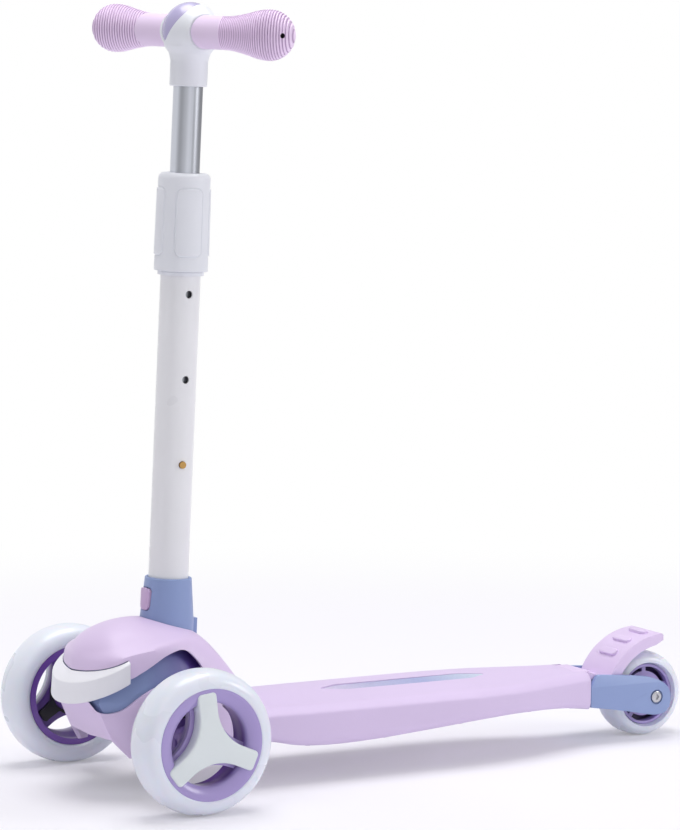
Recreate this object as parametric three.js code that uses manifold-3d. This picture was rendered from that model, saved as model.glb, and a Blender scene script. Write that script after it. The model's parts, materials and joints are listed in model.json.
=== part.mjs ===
// A three wheel kids scooter that steers by leaning: two steered wheels in front, one braked wheel behind.
// Millimetres. X runs across, with the rider's left at +X. -Y is forward. Z is up.
// Pieces are modelled from the front axle line on the ground, and the whole is then centred over its footprint.

import * as THREE from "three";
import { mergeVertices, toCreasedNormals } from "three/addons/utils/BufferGeometryUtils.js";
import Module from "manifold-3d";

const wasm = await Module();
wasm.setup();

// General sizes
const clearance = 0.3; // between pieces that touch or slide
const runningGap = 0.5; // between a turning piece and what it passes
const overrun = 2; // how far a cutter passes through a face
const wall = 3; // moulded housings
const wheelbase = 506;
const trackWidth = 244; // between the middles of the front tyres
const frontWheelRadius = 60;
const frontTyreWidth = 37;
const rearWheelRadius = 38;
const rearTyreWidth = 33;
const columnLeanDegrees = 2.34;
const columnFootY = 25.8; // where the column's axis would meet the ground

// Round pieces: faces in a full turn
const tyreFaces = 28;
const tubeFaces = 16;
const pinFaces = 10;
const bossFaces = 12;
const hubFaces = 20;
const gripFaces = 14;
const collarFaces = 18;
const capBendShare = 0.00001; // the bend that keeps apart the corners of a cap that lie in line

// Deck
const deckFrontY = 62;
const deckToRearAxle = 70;
const deckRearY = wheelbase - deckToRearAxle;
const deckHalfWidth = 59.5;
const deckTopHalfWidth = 45;
const deckTopZ = 66;
const deckTopFall = 1.5; // the top drops this much from front to rear
const deckCrown = 2.4;
const deckBevel = 6;
const deckBellyZ = 32;
const deckSkin = 5;
const deckRibs = 4;
const deckRibThickness = 3;
const deckFootRadius = 5;
// Along the deck, then the shares of its half width, its top half width and its belly height over the belly's low point
const deckStationShares = [
  [0, 0.958, 0.9, 1.15],
  [0.09, 0.966, 0.915, 1.2],
  [0.175, 0.983, 0.935, 1.02],
  [0.26, 1, 0.965, 0.96],
  [0.37, 1, 0.99, 0.985],
  [0.5, 1, 1, 1.08],
  [0.64, 0.997, 0.994, 1.2],
  [0.75, 0.93, 0.925, 1.25],
  [0.81, 0.85, 0.835, 1.235],
  [0.875, 0.725, 0.7, 1.19],
  [0.94, 0.6, 0.57, 1.11],
  [1, 0.507, 0.48, 1],
];

// Inlay in the deck
const inlayFrontInset = 115;
const inlayRearInset = 90;
const inlayFrontY = deckFrontY + inlayFrontInset;
const inlayRearY = deckRearY - inlayRearInset;
const inlayHalfWidth = 12;
const inlayTaper = 22;
const inlayDepth = 1.6;
const inlayRecess = 0.3; // at its rear end, and a little more in front, where the deck is higher

// Nose of the deck, a wall round the truck
const noseHalfWidth = 57;
const noseSideY = 0; // where the nose reaches its full width
const noseLowZ = 35;
const noseHighZ = 100;
const noseBow = 2; // the front face bulges forward this far
const noseLipZ = 49; // lower edge of the front face
const noseKeelZ = 47.5; // its low middle
const noseLipHalfWidth = 22;
const noseArchHalfWidth = 17;
const noseArchTopZ = 87;
const noseFrontY = -62;
// Its corner: height, then how far out and how far forward, as shares of noseHalfWidth and of noseFrontY
const noseCornerShares = [
  [0, 0.85, 0.435],
  [0.215, 0.685, 0.62],
  [0.575, 0.66, 0.8],
  [1, 0.58, 0.99],
];
// Its flank in plan, from the corner to the side: shares of the way out and of the way back
const noseFlankShares = [
  [0, 0],
  [0.3, 0.2],
  [0.6, 0.45],
  [0.85, 0.72],
  [1, 1],
];
// Its upper edge, as shares of its length from the front and of the height from noseLowZ to noseHighZ
const noseEdgeShares = [
  [-0.16, 0.95],
  [0, 0.85],
  [0.045, 0.745],
  [0.075, 0.655],
  [0.1, 0.585],
  [0.15, 0.568],
  [0.185, 0.579],
  [0.22, 0.6],
  [0.255, 0.637],
  [0.29, 0.69],
  [0.33, 0.755],
  [0.39, 0.835],
  [0.46, 0.9],
  [0.56, 0.955],
  [0.66, 0.96],
  [0.76, 0.88],
  [0.86, 0.74],
  [0.94, 0.58],
  [1, 0.467],
  [1.06, 0.455],
];

// Truck body inside the nose
const truckGap = 0.8;
const truckLowZ = 58;
const truckSkirtZ = 80;
const truckTopZ = 121.5;
const truckBoreHalfWidth = 29;
const truckBoreFrontY = 8;
const truckBoreRearY = 52;
const truckRearY = 61;
const truckRearShare = 0.86; // it narrows to this share of its width, inside the cover's rear sides
const truckFrontWall = 9; // between the bore and the pocket for the pivot bolt's head
const truckWellRadius = 28.5; // round the foot of the socket, which swings when the column leans
// Height, side, front and rear of each ring, as shares of the rise over the skirt, the half width, and the bore's margins
const truckRingShares = [
  [0, 1, 1, 1],
  [0.32, 0.92, 0.93, 0.96],
  [0.62, 0.86, 0.78, 0.9],
  [0.86, 0.77, 0.52, 0.78],
  [1, 0.67, 0.3, 0.66],
];

// Axle beam, king pins and steering
const kingpinShare = 0.672; // of the way from the middle to a wheel's middle
const kingpinX = (trackWidth / 2) * kingpinShare;
const kingpinRadius = 4;
const kingpinHeadRadius = 7;
const kingpinHeadHeight = 3.5;
const barrelRadius = 9;
const barrelHalfHeight = 13.4;
const lugThickness = 8;
const lugRadius = 10;
const beamHalfDepth = 10;
const beamHalfHeight = 14;
const beamShoulderGap = 5; // outside the nose
const beamForkGap = 10; // from the fork's root to the king pin
const steerArmLength = 26;
const steerArmThickness = 6;
const steerArmHalfWidth = 6;
const steerArmCorner = 5.4;
const steerPinRadius = 3;
const steerPinGap = 0.8; // the rod's eye is loose on its pin because the pin runs on an arc
const tieRodRadius = 3.5;
const tieEyeRadius = 7;
const tieEyeHalfHeight = 3.2;
const tieBossRadius = 6;
const tieBossFront = 5;
const tieBossRear = 13.5;
const leanPivotZ = 92;
const truckWellRise = 23.5; // from the lean pivot
const truckWellZ = leanPivotZ + truckWellRise;
const pivotBoltRadius = 4;
const pivotHeadRadius = 7;
const pivotHeadHeight = 4;
const yokeBarrelRadius = 10;
const yokeCupRadius = 18;
const yokeCupFloorRise = 14; // from the lean pivot
const yokeCupRise = 26;
const yokeCupFloorZ = leanPivotZ + yokeCupFloorRise;
const yokeCupTopZ = leanPivotZ + yokeCupRise;
const tongueHalfWidth = 9.5;
const tongueDepth = 8; // its prongs stand behind the tie rod and grip the rod's boss
const tongueLowZ = 53;
const cushionLowZ = 68;
const cushionHighZ = 80;
const cushionHalfDepth = 7;
const cushionCorner = 2;

// Front wheels
const frontTyreSeat = 43;
const frontTyreSide = 46.4; // where the tyre meets the hub on its faces
const frontBeadHalfWidth = 15;
const tyreCrownPower = 2.6;
const tyreCrownSteps = 6; // even, so that one ring of points lies on the crown
const hubOpeningRadius = 34.5;
const hubBarrelRadius = 39.4;
const hubCove = 4;
const hubSpokeFront = 8;
const hubSpokeDepth = 8;
const hubBossRadius = 15;
const hubBossBack = 13;
const starHalfWidth = 8.4;
const starTipRadius = 43;
const starTipCorner = 3.5;
const starFillet = 38;
const starPhaseDegrees = 97;
const spokeMargin = 2.4; // the spokes are this much wider than the cap
const capFace = 20; // from the wheel's middle
const capWall = 2.2;
const bearingRadius = 11;
const bearingWidth = 7;
const bearingBore = 4.3;
const axleRadius = 4;
const axleHeadRadius = 7;
const axleHeadHeight = 5;
const axleBoltRoot = 6; // from the king pin to the bolt's inner end
const knuckleBossRadius = 7.2;
const lampThickness = 2.4;
const lampHalfWidth = 5.5;
const lampTipRadius = 32;

// Cover over the truck
const coverHalfWidth = 54;
const coverBumperHalfWidth = 52; // where the bumper ends
const coverFrontY = -56;
const coverBumperY = -28.4;
const coverRearY = 108;
const coverCrownZ = 142.8;
const coverFrontZ = 104;
const coverBaseZ = 85;
const coverTopY = 4;
const coverFrontPower = 2.18;
const coverSideSteps = 4;
const coverWall = 2.6;
// Rings of its front half, as shares of the way from coverFrontY to coverTopY
const coverPlaceShares = [0.004, 0.04, 0.12, 0.25, 0.42, 0.66, 1];
// How square its section is: along from coverFrontY to coverRearY, then the power of its curve
const coverSquareShares = [
  [0, 2.1],
  [0.22, 2.15],
  [0.46, 2.3],
  [0.71, 2.5],
  [1, 2.8],
];
// Its rear half: along from coverTopY to coverRearY, then the share of the crown's height over the deck and of the half width
const coverRearShares = [
  [0, 1, 1],
  [0.14, 0.985, 1],
  [0.28, 0.94, 0.99],
  [0.42, 0.85, 0.97],
  [0.54, 0.715, 0.945],
  [0.64, 0.55, 0.915],
  [0.74, 0.36, 0.855],
  [0.86, 0.14, 0.79],
  [1, 0.02, 0.67],
];
// Lower edge of the cover: along from coverBumperY to coverRearY, and up from the deck's top to the arch's top
const coverArchZ = 122;
const coverEdgeShares = [
  [-0.3, 0.62],
  [0, 0.623],
  [0.0865, 0.711],
  [0.155, 0.8],
  [0.241, 0.916],
  [0.327, 0.984],
  [0.37, 0.986],
  [0.414, 0.939],
  [0.484, 0.745],
  [0.523, 0.536],
  [0.567, 0.25],
  [0.597, 0.14],
  [0.64, 0.11],
  [1.05, 0.1],
];

// Bumper
const bumperCreaseFrontZ = 95;
const bumperCreaseEndZ = 115;
const bumperLowFrontZ = 77.3;
const bumperLowEndZ = 98.8;
const bumperTopEndZ = 117.5;
const bumperReach = 39.6; // from the bumper's ends to its front
const bumperCreaseInset = 1.6; // the crease lies this far behind the front
const bumperInsetX = 2.5; // width of its top face at the ends
const bumperWall = 2.8;
const bumperSteps = 14;

// Socket for the column
const socketGap = 1; // over the yoke's cup
const socketStraight = 21; // from its low end to its shoulder, where the taper begins
const buttonRise = 17; // from the shoulder to the middle of the release button
const socketRim = 18; // from the middle of the release button to the top
const socketLow = yokeCupTopZ + socketGap;
const socketShoulder = socketLow + socketStraight;
const buttonMiddle = socketShoulder + buttonRise;
const socketTop = buttonMiddle + socketRim;
const socketTopRadius = 19.6;
const socketLowRadius = 22.6;
const socketTabWidth = 12;
const socketTabDepth = 3.2;
const socketTabLow = socketLow + 2 * wall;
const socketTabTop = socketShoulder + clearance;
const socketFlangeRadius = 24.5;
const socketFlangeTop = socketLow + wall;
const buttonHeight = 18;
const buttonWidth = 14;
const buttonGap = 0.7; // round the release button
const buttonCorner = 4;
const buttonProud = 1.6;
const buttonTravel = 2;
const latchThickness = 0.8;
const latchWidth = 7;
const latchTail = 4; // the leaf reaches this far below the shoulder
const latchToothRadius = 2.6;

// Outer tube
const outerTubeRadius = 16.7;
const outerTubeWall = 1.5;
const outerTubeSeat = 3; // from the top of the yoke's cup to the tube's low end
const outerTubeLow = yokeCupTopZ + outerTubeSeat;
const outerTubeTop = 498;
const holeRadius = 3.2;
const lowestHole = 270.2;
const holeSpacing = 70.6;
const holeCount = 3;
const latchHoleRadius = 3.6;

// Bush at the top of the outer tube, and the clamp collar round it
const bushGrip = 71.4; // length of the bush on the tube
const bushRise = 6; // over the tube's top
const bushFlange = 3;
const bushFlangeRadius = 19.2;
const bushRadius = 18.4;
const collarRise = 7; // over the bush
const collarLength = 81;
const bushLow = outerTubeTop - bushGrip;
const bushTop = outerTubeTop + bushRise;
const collarTop = bushTop + collarRise;
const collarLow = collarTop - collarLength;
const collarLowRadius = 22.4;
const collarTopRadius = 21.6;
const collarEdgeRadius = 5;
const collarPanels = 4;
const collarPanelHeight = 55;
const collarPanelDegrees = 58;
const collarPanelProud = 0.6;
const collarPanelCorner = 5;
const collarPanelPhaseDegrees = 77; // from the front towards the rider's left

// Inner tube, head and bar
const innerTubeRadius = 12.25;
const innerTubeWall = 1.5;
const innerTubeLow = 244;
const plugHeight = 9;
const innerTubeShown = 71; // between the collar and the head
const headSleeveRadius = 15.6;
const headSleeveLength = 24;
const headRise = 45; // from the sleeve's low end to the bar
const headSleeveLow = collarTop + innerTubeShown;
const headSleeveTop = headSleeveLow + headSleeveLength;
const handleHeight = headSleeveLow + headRise; // from the ground to the handle bar, along the column
const headRadius = 25;
const headHalfWidth = 26;
const headNeckRadius = 15.2;
const headSteps = 4;
const insertHalfWidth = 12.9;
const insertInnerRadius = 17.5;
const insertSink = 0.7; // the insert lies this much below the head's surface
const insertTipDegrees = -20; // its tips, measured from the front over the top
const insertRearDegrees = 120;
const insertPower = 0.75; // rounds its outline
const insertSteps = 8;
const barRadius = 9.5;
const barWall = 1.6;
const barHalfLength = 140;
const gripInner = 26.6;
const gripNeckRadius = 13.9;
const gripBulbRadius = 20.5;
const gripBulbX = 135.5;
// Along the grip from its inner end to its bulb, and from its neck's radius to its bulb's
const gripShares = [
  [0, 0],
  [0.13, -0.03],
  [0.4, 0],
  [0.53, 0.15],
  [0.72, 0.5],
  [0.9, 0.91],
  [1, 1],
];
const gripVentRadius = 1.5;
const gripSteps = 8;
const gripDomeSteps = 4;

// Snap button that holds the handle's height
const snapRadius = 3;
const snapProud = 1.5;
const snapTravel = 3.6;
const snapCollarRadius = 4.6;
const snapCollarThickness = 1;
const snapSpringThickness = 0.8;
const snapSpringWidth = 8;
const snapSpringLength = 24;

// Rear fork, wheel and brake
const forkOuterX = 30.2;
const forkArmThickness = 5.8;
const forkFrontY = deckRearY + 2 * clearance;
const forkOverhang = 15; // behind the rear axle
const forkReachY = wheelbase + forkOverhang;
const forkLowZ = 22;
const forkHighZ = 62;
const forkBlockGap = 45; // from the block between the arms to the rear axle
const forkBlockRearY = wheelbase - forkBlockGap;
const forkBlockTopZ = 51;
const forkRecessRadius = 6.5;
const forkRecessDepth = 2.4;
const forkBossRadius = 9;
const forkBossHeight = 3.2;
// Side view of a fork arm: shares of its length and of its height
const forkOutlineShares = [
  [0, 0.3],
  [0, 0.75],
  [0.085, 0.98],
  [0.12, 1],
  [0.5, 0.925],
  [0.72, 0.86],
  [0.88, 0.74],
  [0.97, 0.58],
  [1, 0.38],
  [0.985, 0.17],
  [0.92, 0.03],
  [0.82, 0],
  [0.7, 0.03],
  [0.5, 0.12],
  [0.3, 0.2],
];
const rearTyreSeat = 27.3;
const rearTyreSide = 29;
const rearBeadHalfWidth = 12.6;
const rearRimRadius = 27;
const rearWindowOuter = 24.4;
const rearWindowInner = 20;
const rearWebHalfWidth = 9;
const rearBossHalfWidth = 20.4;
const rearBossRadius = 14;
const rearSpokes = 5;
const rearDiscThickness = 3; // closes the windows in the middle plane
const rearSpokeWidth = 4;
const rearBoltHeadRadius = 5.2;
const rearBoltHeadHeight = 2.2;
const rearNutRadius = 5.8;
const brakePinInset = 7; // ahead of the deck's rear end
const brakePinY = deckRearY - brakePinInset;
const brakePinZ = 57.5;
const brakePinRadius = 2;
const brakePinSeat = 6; // the deck holds each end of the pin this deep
const brakeHingeRadius = 4.6;
const brakeHingeHalfWidth = 19;
const brakePinHalf = brakeHingeHalfWidth + brakePinSeat;
const brakeHalfWidth = 24;
const brakeRadius = 49.4; // outer face at its low end, about the rear axle
const brakeSwell = 6.2; // the radius grows by this towards its high end
const brakeSwellPower = 2.2;
const brakeWall = 3;
const brakeFlangeDepth = 7;
const brakeLowDegrees = 156; // the arc begins here, measured from behind over the top
const brakeHighDegrees = 83;
const brakeFlangeTuckDegrees = 4; // the flanges end this much inside the arc
const brakeTailLength = 2;
const brakeTailRise = 0.3;
const brakeArcSteps = 8;
const brakePads = 3;
const brakePadWidth = 24;
const brakePadDepth = 9;
const brakePadCorner = 4;
const brakePadHeight = 2.2;
const brakePadFirstDegrees = 129;
const brakePadLastDegrees = 90.4;
const springWire = 0.6;
const springRadius = 3.4;
const springTurns = 3;
const springLegLength = 9;

// Worked out from the sizes above
const degree = Math.PI / 180;
const columnLean = columnLeanDegrees * degree;
const frontAxleZ = frontWheelRadius * Math.cos(Math.PI / tyreFaces);
const rearAxleZ = rearWheelRadius * Math.cos(Math.PI / tyreFaces);
const wheelX = trackWidth / 2;
const bumperFrontY = coverBumperY - bumperReach;
const middleY = (bumperFrontY + wheelbase + rearWheelRadius * Math.cos(Math.PI / tyreFaces)) / 2;
const steerArmY = steerArmLength;
const snapSeat = Math.sqrt((innerTubeRadius - innerTubeWall) ** 2 - snapCollarRadius ** 2) - runningGap;
const cushionMiddleY = steerArmY + tieRodRadius + runningGap + tongueDepth / 2;
const columnYAt = (z) => columnFootY + z * Math.tan(columnLean);

// Materials
function finish(color, roughness, metalness = 0) {
  return new THREE.MeshStandardMaterial({ color, roughness, metalness });
}
const lilac = finish(0xdcc6ea, 0.5);
const blue = finish(0x7f92c4, 0.5);
const purple = finish(0x9d8cc8, 0.45);
const grip = finish(0xd9b4e2, 0.65);
const tyreWhite = finish(0xe8ecf6, 0.4);
const white = finish(0xe4e4ea, 0.5);
const capGrey = finish(0xd8e0e2, 0.45);
const aluminium = finish(0xb4b8c2, 0.35, 0.9);
const steel = finish(0xb9bbc0, 0.3, 1);
const brass = finish(0xc09a55, 0.35, 1);
const black = finish(0x26242c, 0.6);
const inlay = finish(0x8f9cc8, 0.45);

// Solids from three.js geometry

function solid(geometry) {
  const bare = geometry.clone();
  bare.deleteAttribute("normal");
  bare.deleteAttribute("uv");
  const merged = mergeVertices(bare, clearance / 1000);
  const corners = merged.index.array;
  const kept = [];
  for (let i = 0; i < corners.length; i += 3) {
    const [a, b, c] = [corners[i], corners[i + 1], corners[i + 2]];
    if (a !== b && b !== c && c !== a) kept.push(a, b, c);
  }
  const make = (triangles) =>
    new wasm.Manifold(
      new wasm.Mesh({
        numProp: 3,
        vertProperties: new Float32Array(merged.attributes.position.array),
        triVerts: new Uint32Array(triangles),
      }),
    );
  const made = make(kept);
  if (made.volume() >= 0) return made;
  for (let i = 0; i < kept.length; i += 3) [kept[i + 1], kept[i + 2]] = [kept[i + 2], kept[i + 1]];
  return make(kept);
}

const join = (...solids) => solids.reduce((all, one) => all.add(one));
const cut = (body, ...cutters) => cutters.reduce((left, one) => left.subtract(one), body);

function meshGeometry(body, mirror = false) {
  const mesh = body.getMesh();
  const points = Float32Array.from(mesh.vertProperties);
  const triangles = Uint32Array.from(mesh.triVerts);
  if (mirror) {
    for (let i = 0; i < points.length; i += 3) points[i] = -points[i];
    for (let i = 0; i < triangles.length; i += 3)
      [triangles[i + 1], triangles[i + 2]] = [triangles[i + 2], triangles[i + 1]];
  }
  return new THREE.BufferGeometry()
    .setAttribute("position", new THREE.BufferAttribute(points, 3))
    .setIndex(new THREE.BufferAttribute(triangles, 1));
}

// A matrix that turns a shape's own axes so that its third axis points along x, y or z
function along(axis) {
  const [x, y, z] = [new THREE.Vector3(1, 0, 0), new THREE.Vector3(0, 1, 0), new THREE.Vector3(0, 0, 1)];
  if (axis === "x") return new THREE.Matrix4().makeBasis(y, z, x);
  if (axis === "y") return new THREE.Matrix4().makeBasis(x, z, y);
  return new THREE.Matrix4().makeBasis(x, y, z);
}

// A closed outline pushed along an axis. Outlines across x hold (y, z), across y (x, z), across z (x, y).
function prism(axis, outline, from, to) {
  const corners = outline.filter(([a, b], i) => {
    const [before, after] = [outline.at(i - 1), outline[(i + 1) % outline.length]];
    const turn = (a - before[0]) * (after[1] - b) - (b - before[1]) * (after[0] - a);
    return Math.abs(turn) > (clearance / 100) ** 2;
  });
  const shape = new THREE.Shape(corners.map(([a, b]) => new THREE.Vector2(a, b)));
  const geometry = new THREE.ExtrudeGeometry(shape, { depth: to - from, bevelEnabled: false });
  return solid(geometry.translate(0, 0, from).applyMatrix4(along(axis)));
}

function rectangle(lowA, lowB, highA, highB) {
  return [
    [lowA, lowB],
    [highA, lowB],
    [highA, highB],
    [lowA, highB],
  ];
}

function block(low, high) {
  const size = high.map((value, i) => value - low[i]);
  const geometry = new THREE.BoxGeometry(...size);
  return solid(geometry.translate(...low.map((value, i) => value + size[i] / 2)));
}

// A round bar along an axis; its centre is given on the other two axes, in x, y, z order
function rod(axis, radius, from, to, [a, b] = [0, 0], faces = pinFaces) {
  const geometry = new THREE.CylinderGeometry(radius, radius, to - from, faces, 1, false, Math.PI / faces)
    .rotateX(Math.PI / 2)
    .translate(a, b, (from + to) / 2);
  return solid(geometry.applyMatrix4(along(axis)));
}

// A profile of (place along the axis, radius) turned round an axis through the origin
function turned(axis, profile, faces) {
  const closed = profile[0][1] > 0 ? [...profile, profile[0]] : profile;
  const geometry = new THREE.LatheGeometry(
    closed.map(([place, radius]) => new THREE.Vector2(radius, place)),
    faces,
    Math.PI / faces,
  ).rotateX(Math.PI / 2);
  return solid(geometry.applyMatrix4(along(axis)));
}

// A ring with flat ends
function ring(axis, inner, outer, from, to, faces = tubeFaces) {
  return turned(
    axis,
    [
      [from, inner],
      [from, outer],
      [to, outer],
      [to, inner],
    ],
    faces,
  );
}

// Corners of an outline rounded by arcs; a corner may carry a radius and a number of steps of its own
function rounded(corners, radius, steps = 4) {
  const out = [];
  corners.forEach(([a, b, own = radius, ownSteps = steps], i) => {
    const point = new THREE.Vector2(a, b);
    const before = new THREE.Vector2(...corners.at(i - 1).slice(0, 2)).sub(point);
    const after = new THREE.Vector2(...corners[(i + 1) % corners.length].slice(0, 2)).sub(point);
    const angle = Math.acos(before.clone().normalize().dot(after.clone().normalize()));
    const reach = own / Math.tan(angle / 2);
    if (!own || Math.PI - angle < degree) {
      out.push([a, b]);
      return;
    }
    const start = point.clone().addScaledVector(before.normalize(), reach);
    const end = point.clone().addScaledVector(after.normalize(), reach);
    const middle = before.add(after).normalize();
    const centre = point.clone().addScaledVector(middle, own / Math.sin(angle / 2));
    const first = Math.atan2(start.y - centre.y, start.x - centre.x);
    let sweep = Math.atan2(end.y - centre.y, end.x - centre.x) - first;
    if (sweep > Math.PI) sweep -= 2 * Math.PI;
    if (sweep < -Math.PI) sweep += 2 * Math.PI;
    for (let k = 0; k <= ownSteps; k++) {
      const turn = first + (sweep * k) / ownSteps;
      out.push([centre.x + own * Math.cos(turn), centre.y + own * Math.sin(turn)]);
    }
  });
  return out;
}

// Points along a smooth curve through the given ones
function smooth(points, count) {
  const curve = new THREE.SplineCurve(points.map(([a, b]) => new THREE.Vector2(a, b)));
  return curve.getPoints(count).map((p) => [p.x, p.y]);
}

// A value read off a table of [place, value, ...] rows, eased between them
function between(rows, place, column = 1) {
  const last = rows.length - 1;
  let i = rows.findIndex((row) => row[0] > place) - 1;
  if (i < 0) i = place < rows[0][0] ? 0 : last - 1;
  const [p0, p1] = [rows[i], rows[i + 1]];
  const t = THREE.MathUtils.clamp((place - p0[0]) / (p1[0] - p0[0]), 0, 1);
  const slope = (k) => {
    const [a, b] = [rows[Math.max(k - 1, 0)], rows[Math.min(k + 1, last)]];
    return (b[column] - a[column]) / (b[0] - a[0]);
  };
  const span = p1[0] - p0[0];
  const [t2, t3] = [t * t, t * t * t];
  return (
    (2 * t3 - 3 * t2 + 1) * p0[column] +
    (t3 - 2 * t2 + t) * span * slope(i) +
    (3 * t2 - 2 * t3) * p1[column] +
    (t3 - t2) * span * slope(i + 1)
  );
}

// A closed skin through rings of equally many points, with a flat cap on each end
function loft(rings) {
  const count = rings[0].length;
  const triangles = [];
  rings.slice(1).forEach((_, i) => {
    for (let j = 0; j < count; j++) {
      const [a, b] = [i * count + j, i * count + ((j + 1) % count)];
      triangles.push(a, b, b + count, a, b + count, a + count);
    }
  });
  const cap = (index, forward) => {
    const points = rings[index];
    const normal = new THREE.Vector3();
    points.forEach((p, j) => normal.add(p.clone().cross(points[(j + 1) % count])));
    const size = normal.toArray().map(Math.abs);
    const drop = size.indexOf(Math.max(...size));
    // Bent very slightly, so that no corner is lost for lying in line with its neighbours
    const flat = points.map((p) => {
      const [a, b] = p.toArray().filter((_, k) => k !== drop);
      const bend = ((a * a + b * b) / deckRearY) * capBendShare;
      return new THREE.Vector2(a + bend, b + bend);
    });
    const way = Math.sign(THREE.ShapeUtils.area(flat));
    THREE.ShapeUtils.triangulateShape(flat, []).forEach((face) => {
      const turn = Math.sign(THREE.ShapeUtils.area(face.map((k) => flat[k])));
      const [a, b, c] = turn === way ? face : [face[0], face[2], face[1]];
      const ids = [a, b, c].map((k) => index * count + k);
      triangles.push(...(forward ? ids : [ids[0], ids[2], ids[1]]));
    });
  };
  cap(0, false);
  cap(rings.length - 1, true);
  const geometry = new THREE.BufferGeometry();
  geometry.setAttribute("position", new THREE.Float32BufferAttribute(rings.flat().flatMap((p) => p.toArray()), 3));
  geometry.setIndex(triangles);
  return solid(geometry);
}

// Turns a solid that is modelled along the column's axis into the scooter's frame
function tilted(body) {
  return solid(meshGeometry(body).rotateX(-columnLean).translate(0, columnFootY, 0));
}

// Deck

// One ring of the deck at a share of its length, shrunk by an inset
function deckRing(share, inset) {
  const rise = inset ? deckSkin : 0;
  const y = THREE.MathUtils.lerp(deckFrontY, deckRearY, share);
  const half = deckHalfWidth * between(deckStationShares, share, 1) - inset;
  const topHalf = deckTopHalfWidth * between(deckStationShares, share, 2) - inset;
  const top = deckTopZ - deckTopFall * share - rise;
  const low = inset ? 0 : deckBellyZ * between(deckStationShares, share, 3);
  const foot = inset ? 0 : deckFootRadius;
  const right = [
    [0, low],
    [half - foot, low],
    [half - foot / 4, low + foot / 2],
    [half, low + foot + overrun],
    [half, top - deckBevel],
    [(3 * half + topHalf) / 4, top - (deckBevel * 5) / 9],
    [(half + topHalf) / 2, top - deckBevel / 4],
    [topHalf, top],
    [topHalf / 2, top + (deckCrown * 3) / 4],
    [0, top + deckCrown],
  ];
  const left = right.slice(1, -1).map(([x, z]) => [-x, z]);
  return [...right, ...left.reverse()].map(([x, z]) => new THREE.Vector3(x, y, z));
}

// Half of the nose's plan at a height, from the middle of its front to its side, inset by a wall
function nosePlan(z, inset) {
  const height = (z - noseLowZ) / (noseHighZ - noseLowZ);
  const cornerX = noseHalfWidth * between(noseCornerShares, height, 1) - inset / 2;
  const cornerY = noseFrontY * between(noseCornerShares, height, 2) + inset;
  return [
    [0, cornerY - noseBow],
    [cornerX / 2, cornerY - (noseBow * 3) / 4],
    ...noseFlankShares.map(([out, back]) => [
      THREE.MathUtils.lerp(cornerX, noseHalfWidth - inset, out),
      THREE.MathUtils.lerp(cornerY, noseSideY, back),
    ]),
  ];
}

function closedPlan(half, rearY, rearShare = 1) {
  const side = half.at(-1)[0];
  const right = [...half, [side, rearY / 2], [side * rearShare, (rearY * 3) / 4], [side * rearShare, rearY]];
  const left = right.slice(1).map(([x, y]) => [-x, y]);
  return [...right, ...left.reverse()];
}

function noseShell() {
  const rings = (inset, rearY, spread) =>
    noseCornerShares.map(([height]) => {
      const z = THREE.MathUtils.lerp(noseLowZ, noseHighZ, height);
      const placed = THREE.MathUtils.lerp(noseLowZ - spread, noseHighZ + spread, height);
      return closedPlan(nosePlan(z, inset), rearY).map(([x, y]) => new THREE.Vector3(x, y, placed));
    });
  const outside = loft(rings(0, deckFrontY + deckSkin, 0));
  const inside = loft(rings(wall, deckFrontY, overrun));
  const length = deckFrontY - noseFrontY;
  const edge = smooth(
    noseEdgeShares.map(([a, b]) => [noseFrontY + a * length, noseLowZ + b * (noseHighZ - noseLowZ)]),
    19,
  );
  const above = prism(
    "x",
    [...edge, [2 * deckFrontY, edge.at(-1)[1]], [2 * deckFrontY, noseHighZ + wall], [edge[0][0], noseHighZ + wall]],
    -2 * noseHalfWidth,
    2 * noseHalfWidth,
  );
  const [lipX] = nosePlan(noseLipZ, 0)[2];
  const [lowX] = nosePlan(noseLowZ, 0)[2];
  const lipHalf = smooth(
    [
      [0, noseKeelZ],
      [noseLipHalfWidth / 2, (noseKeelZ + noseLipZ) / 2],
      [noseLipHalfWidth, noseLipZ],
      [lipX, noseLipZ],
    ],
    9,
  );
  const lip = [
    ...lipHalf,
    [lowX, noseLowZ - overrun],
    [-lowX, noseLowZ - overrun],
    ...lipHalf.slice(1).map(([x, z]) => [-x, z]).reverse(),
  ];
  const under = prism("y", lip, 2 * noseFrontY, noseSideY);
  const arch = rounded(
    [
      [-noseArchHalfWidth, noseLowZ - overrun, 0],
      [noseArchHalfWidth, noseLowZ - overrun, 0],
      [noseArchHalfWidth, noseArchTopZ],
      [-noseArchHalfWidth, noseArchTopZ],
    ],
    noseArchHalfWidth / 2,
    5,
  );
  const wells = prism("x", arch, -2 * noseHalfWidth, 2 * noseHalfWidth);
  const rodWay = block(
    [-2 * noseHalfWidth, 0, noseLowZ - overrun],
    [2 * noseHalfWidth, steerArmY + tieEyeRadius + runningGap, frontAxleZ + tieEyeRadius],
  );
  return cut(outside, inside, above, under, wells, rodWay);
}

function inlayOutline(inset) {
  const half = inlayHalfWidth - inset;
  return rounded(
    [
      [0, inlayFrontY + inset, half / 4],
      [half, inlayFrontY + inlayTaper, half],
      [half, inlayRearY - inlayTaper, half],
      [0, inlayRearY - inset, half / 4],
      [-half, inlayRearY - inlayTaper, half],
      [-half, inlayFrontY + inlayTaper, half],
    ],
    0,
    3,
  );
}

const inlayRearShare = (inlayRearY - deckFrontY) / (deckRearY - deckFrontY);
const inlayTopZ = deckTopZ - deckTopFall * inlayRearShare + deckCrown - inlayRecess;
const inlayFloorZ = inlayTopZ - inlayDepth - clearance;

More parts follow.
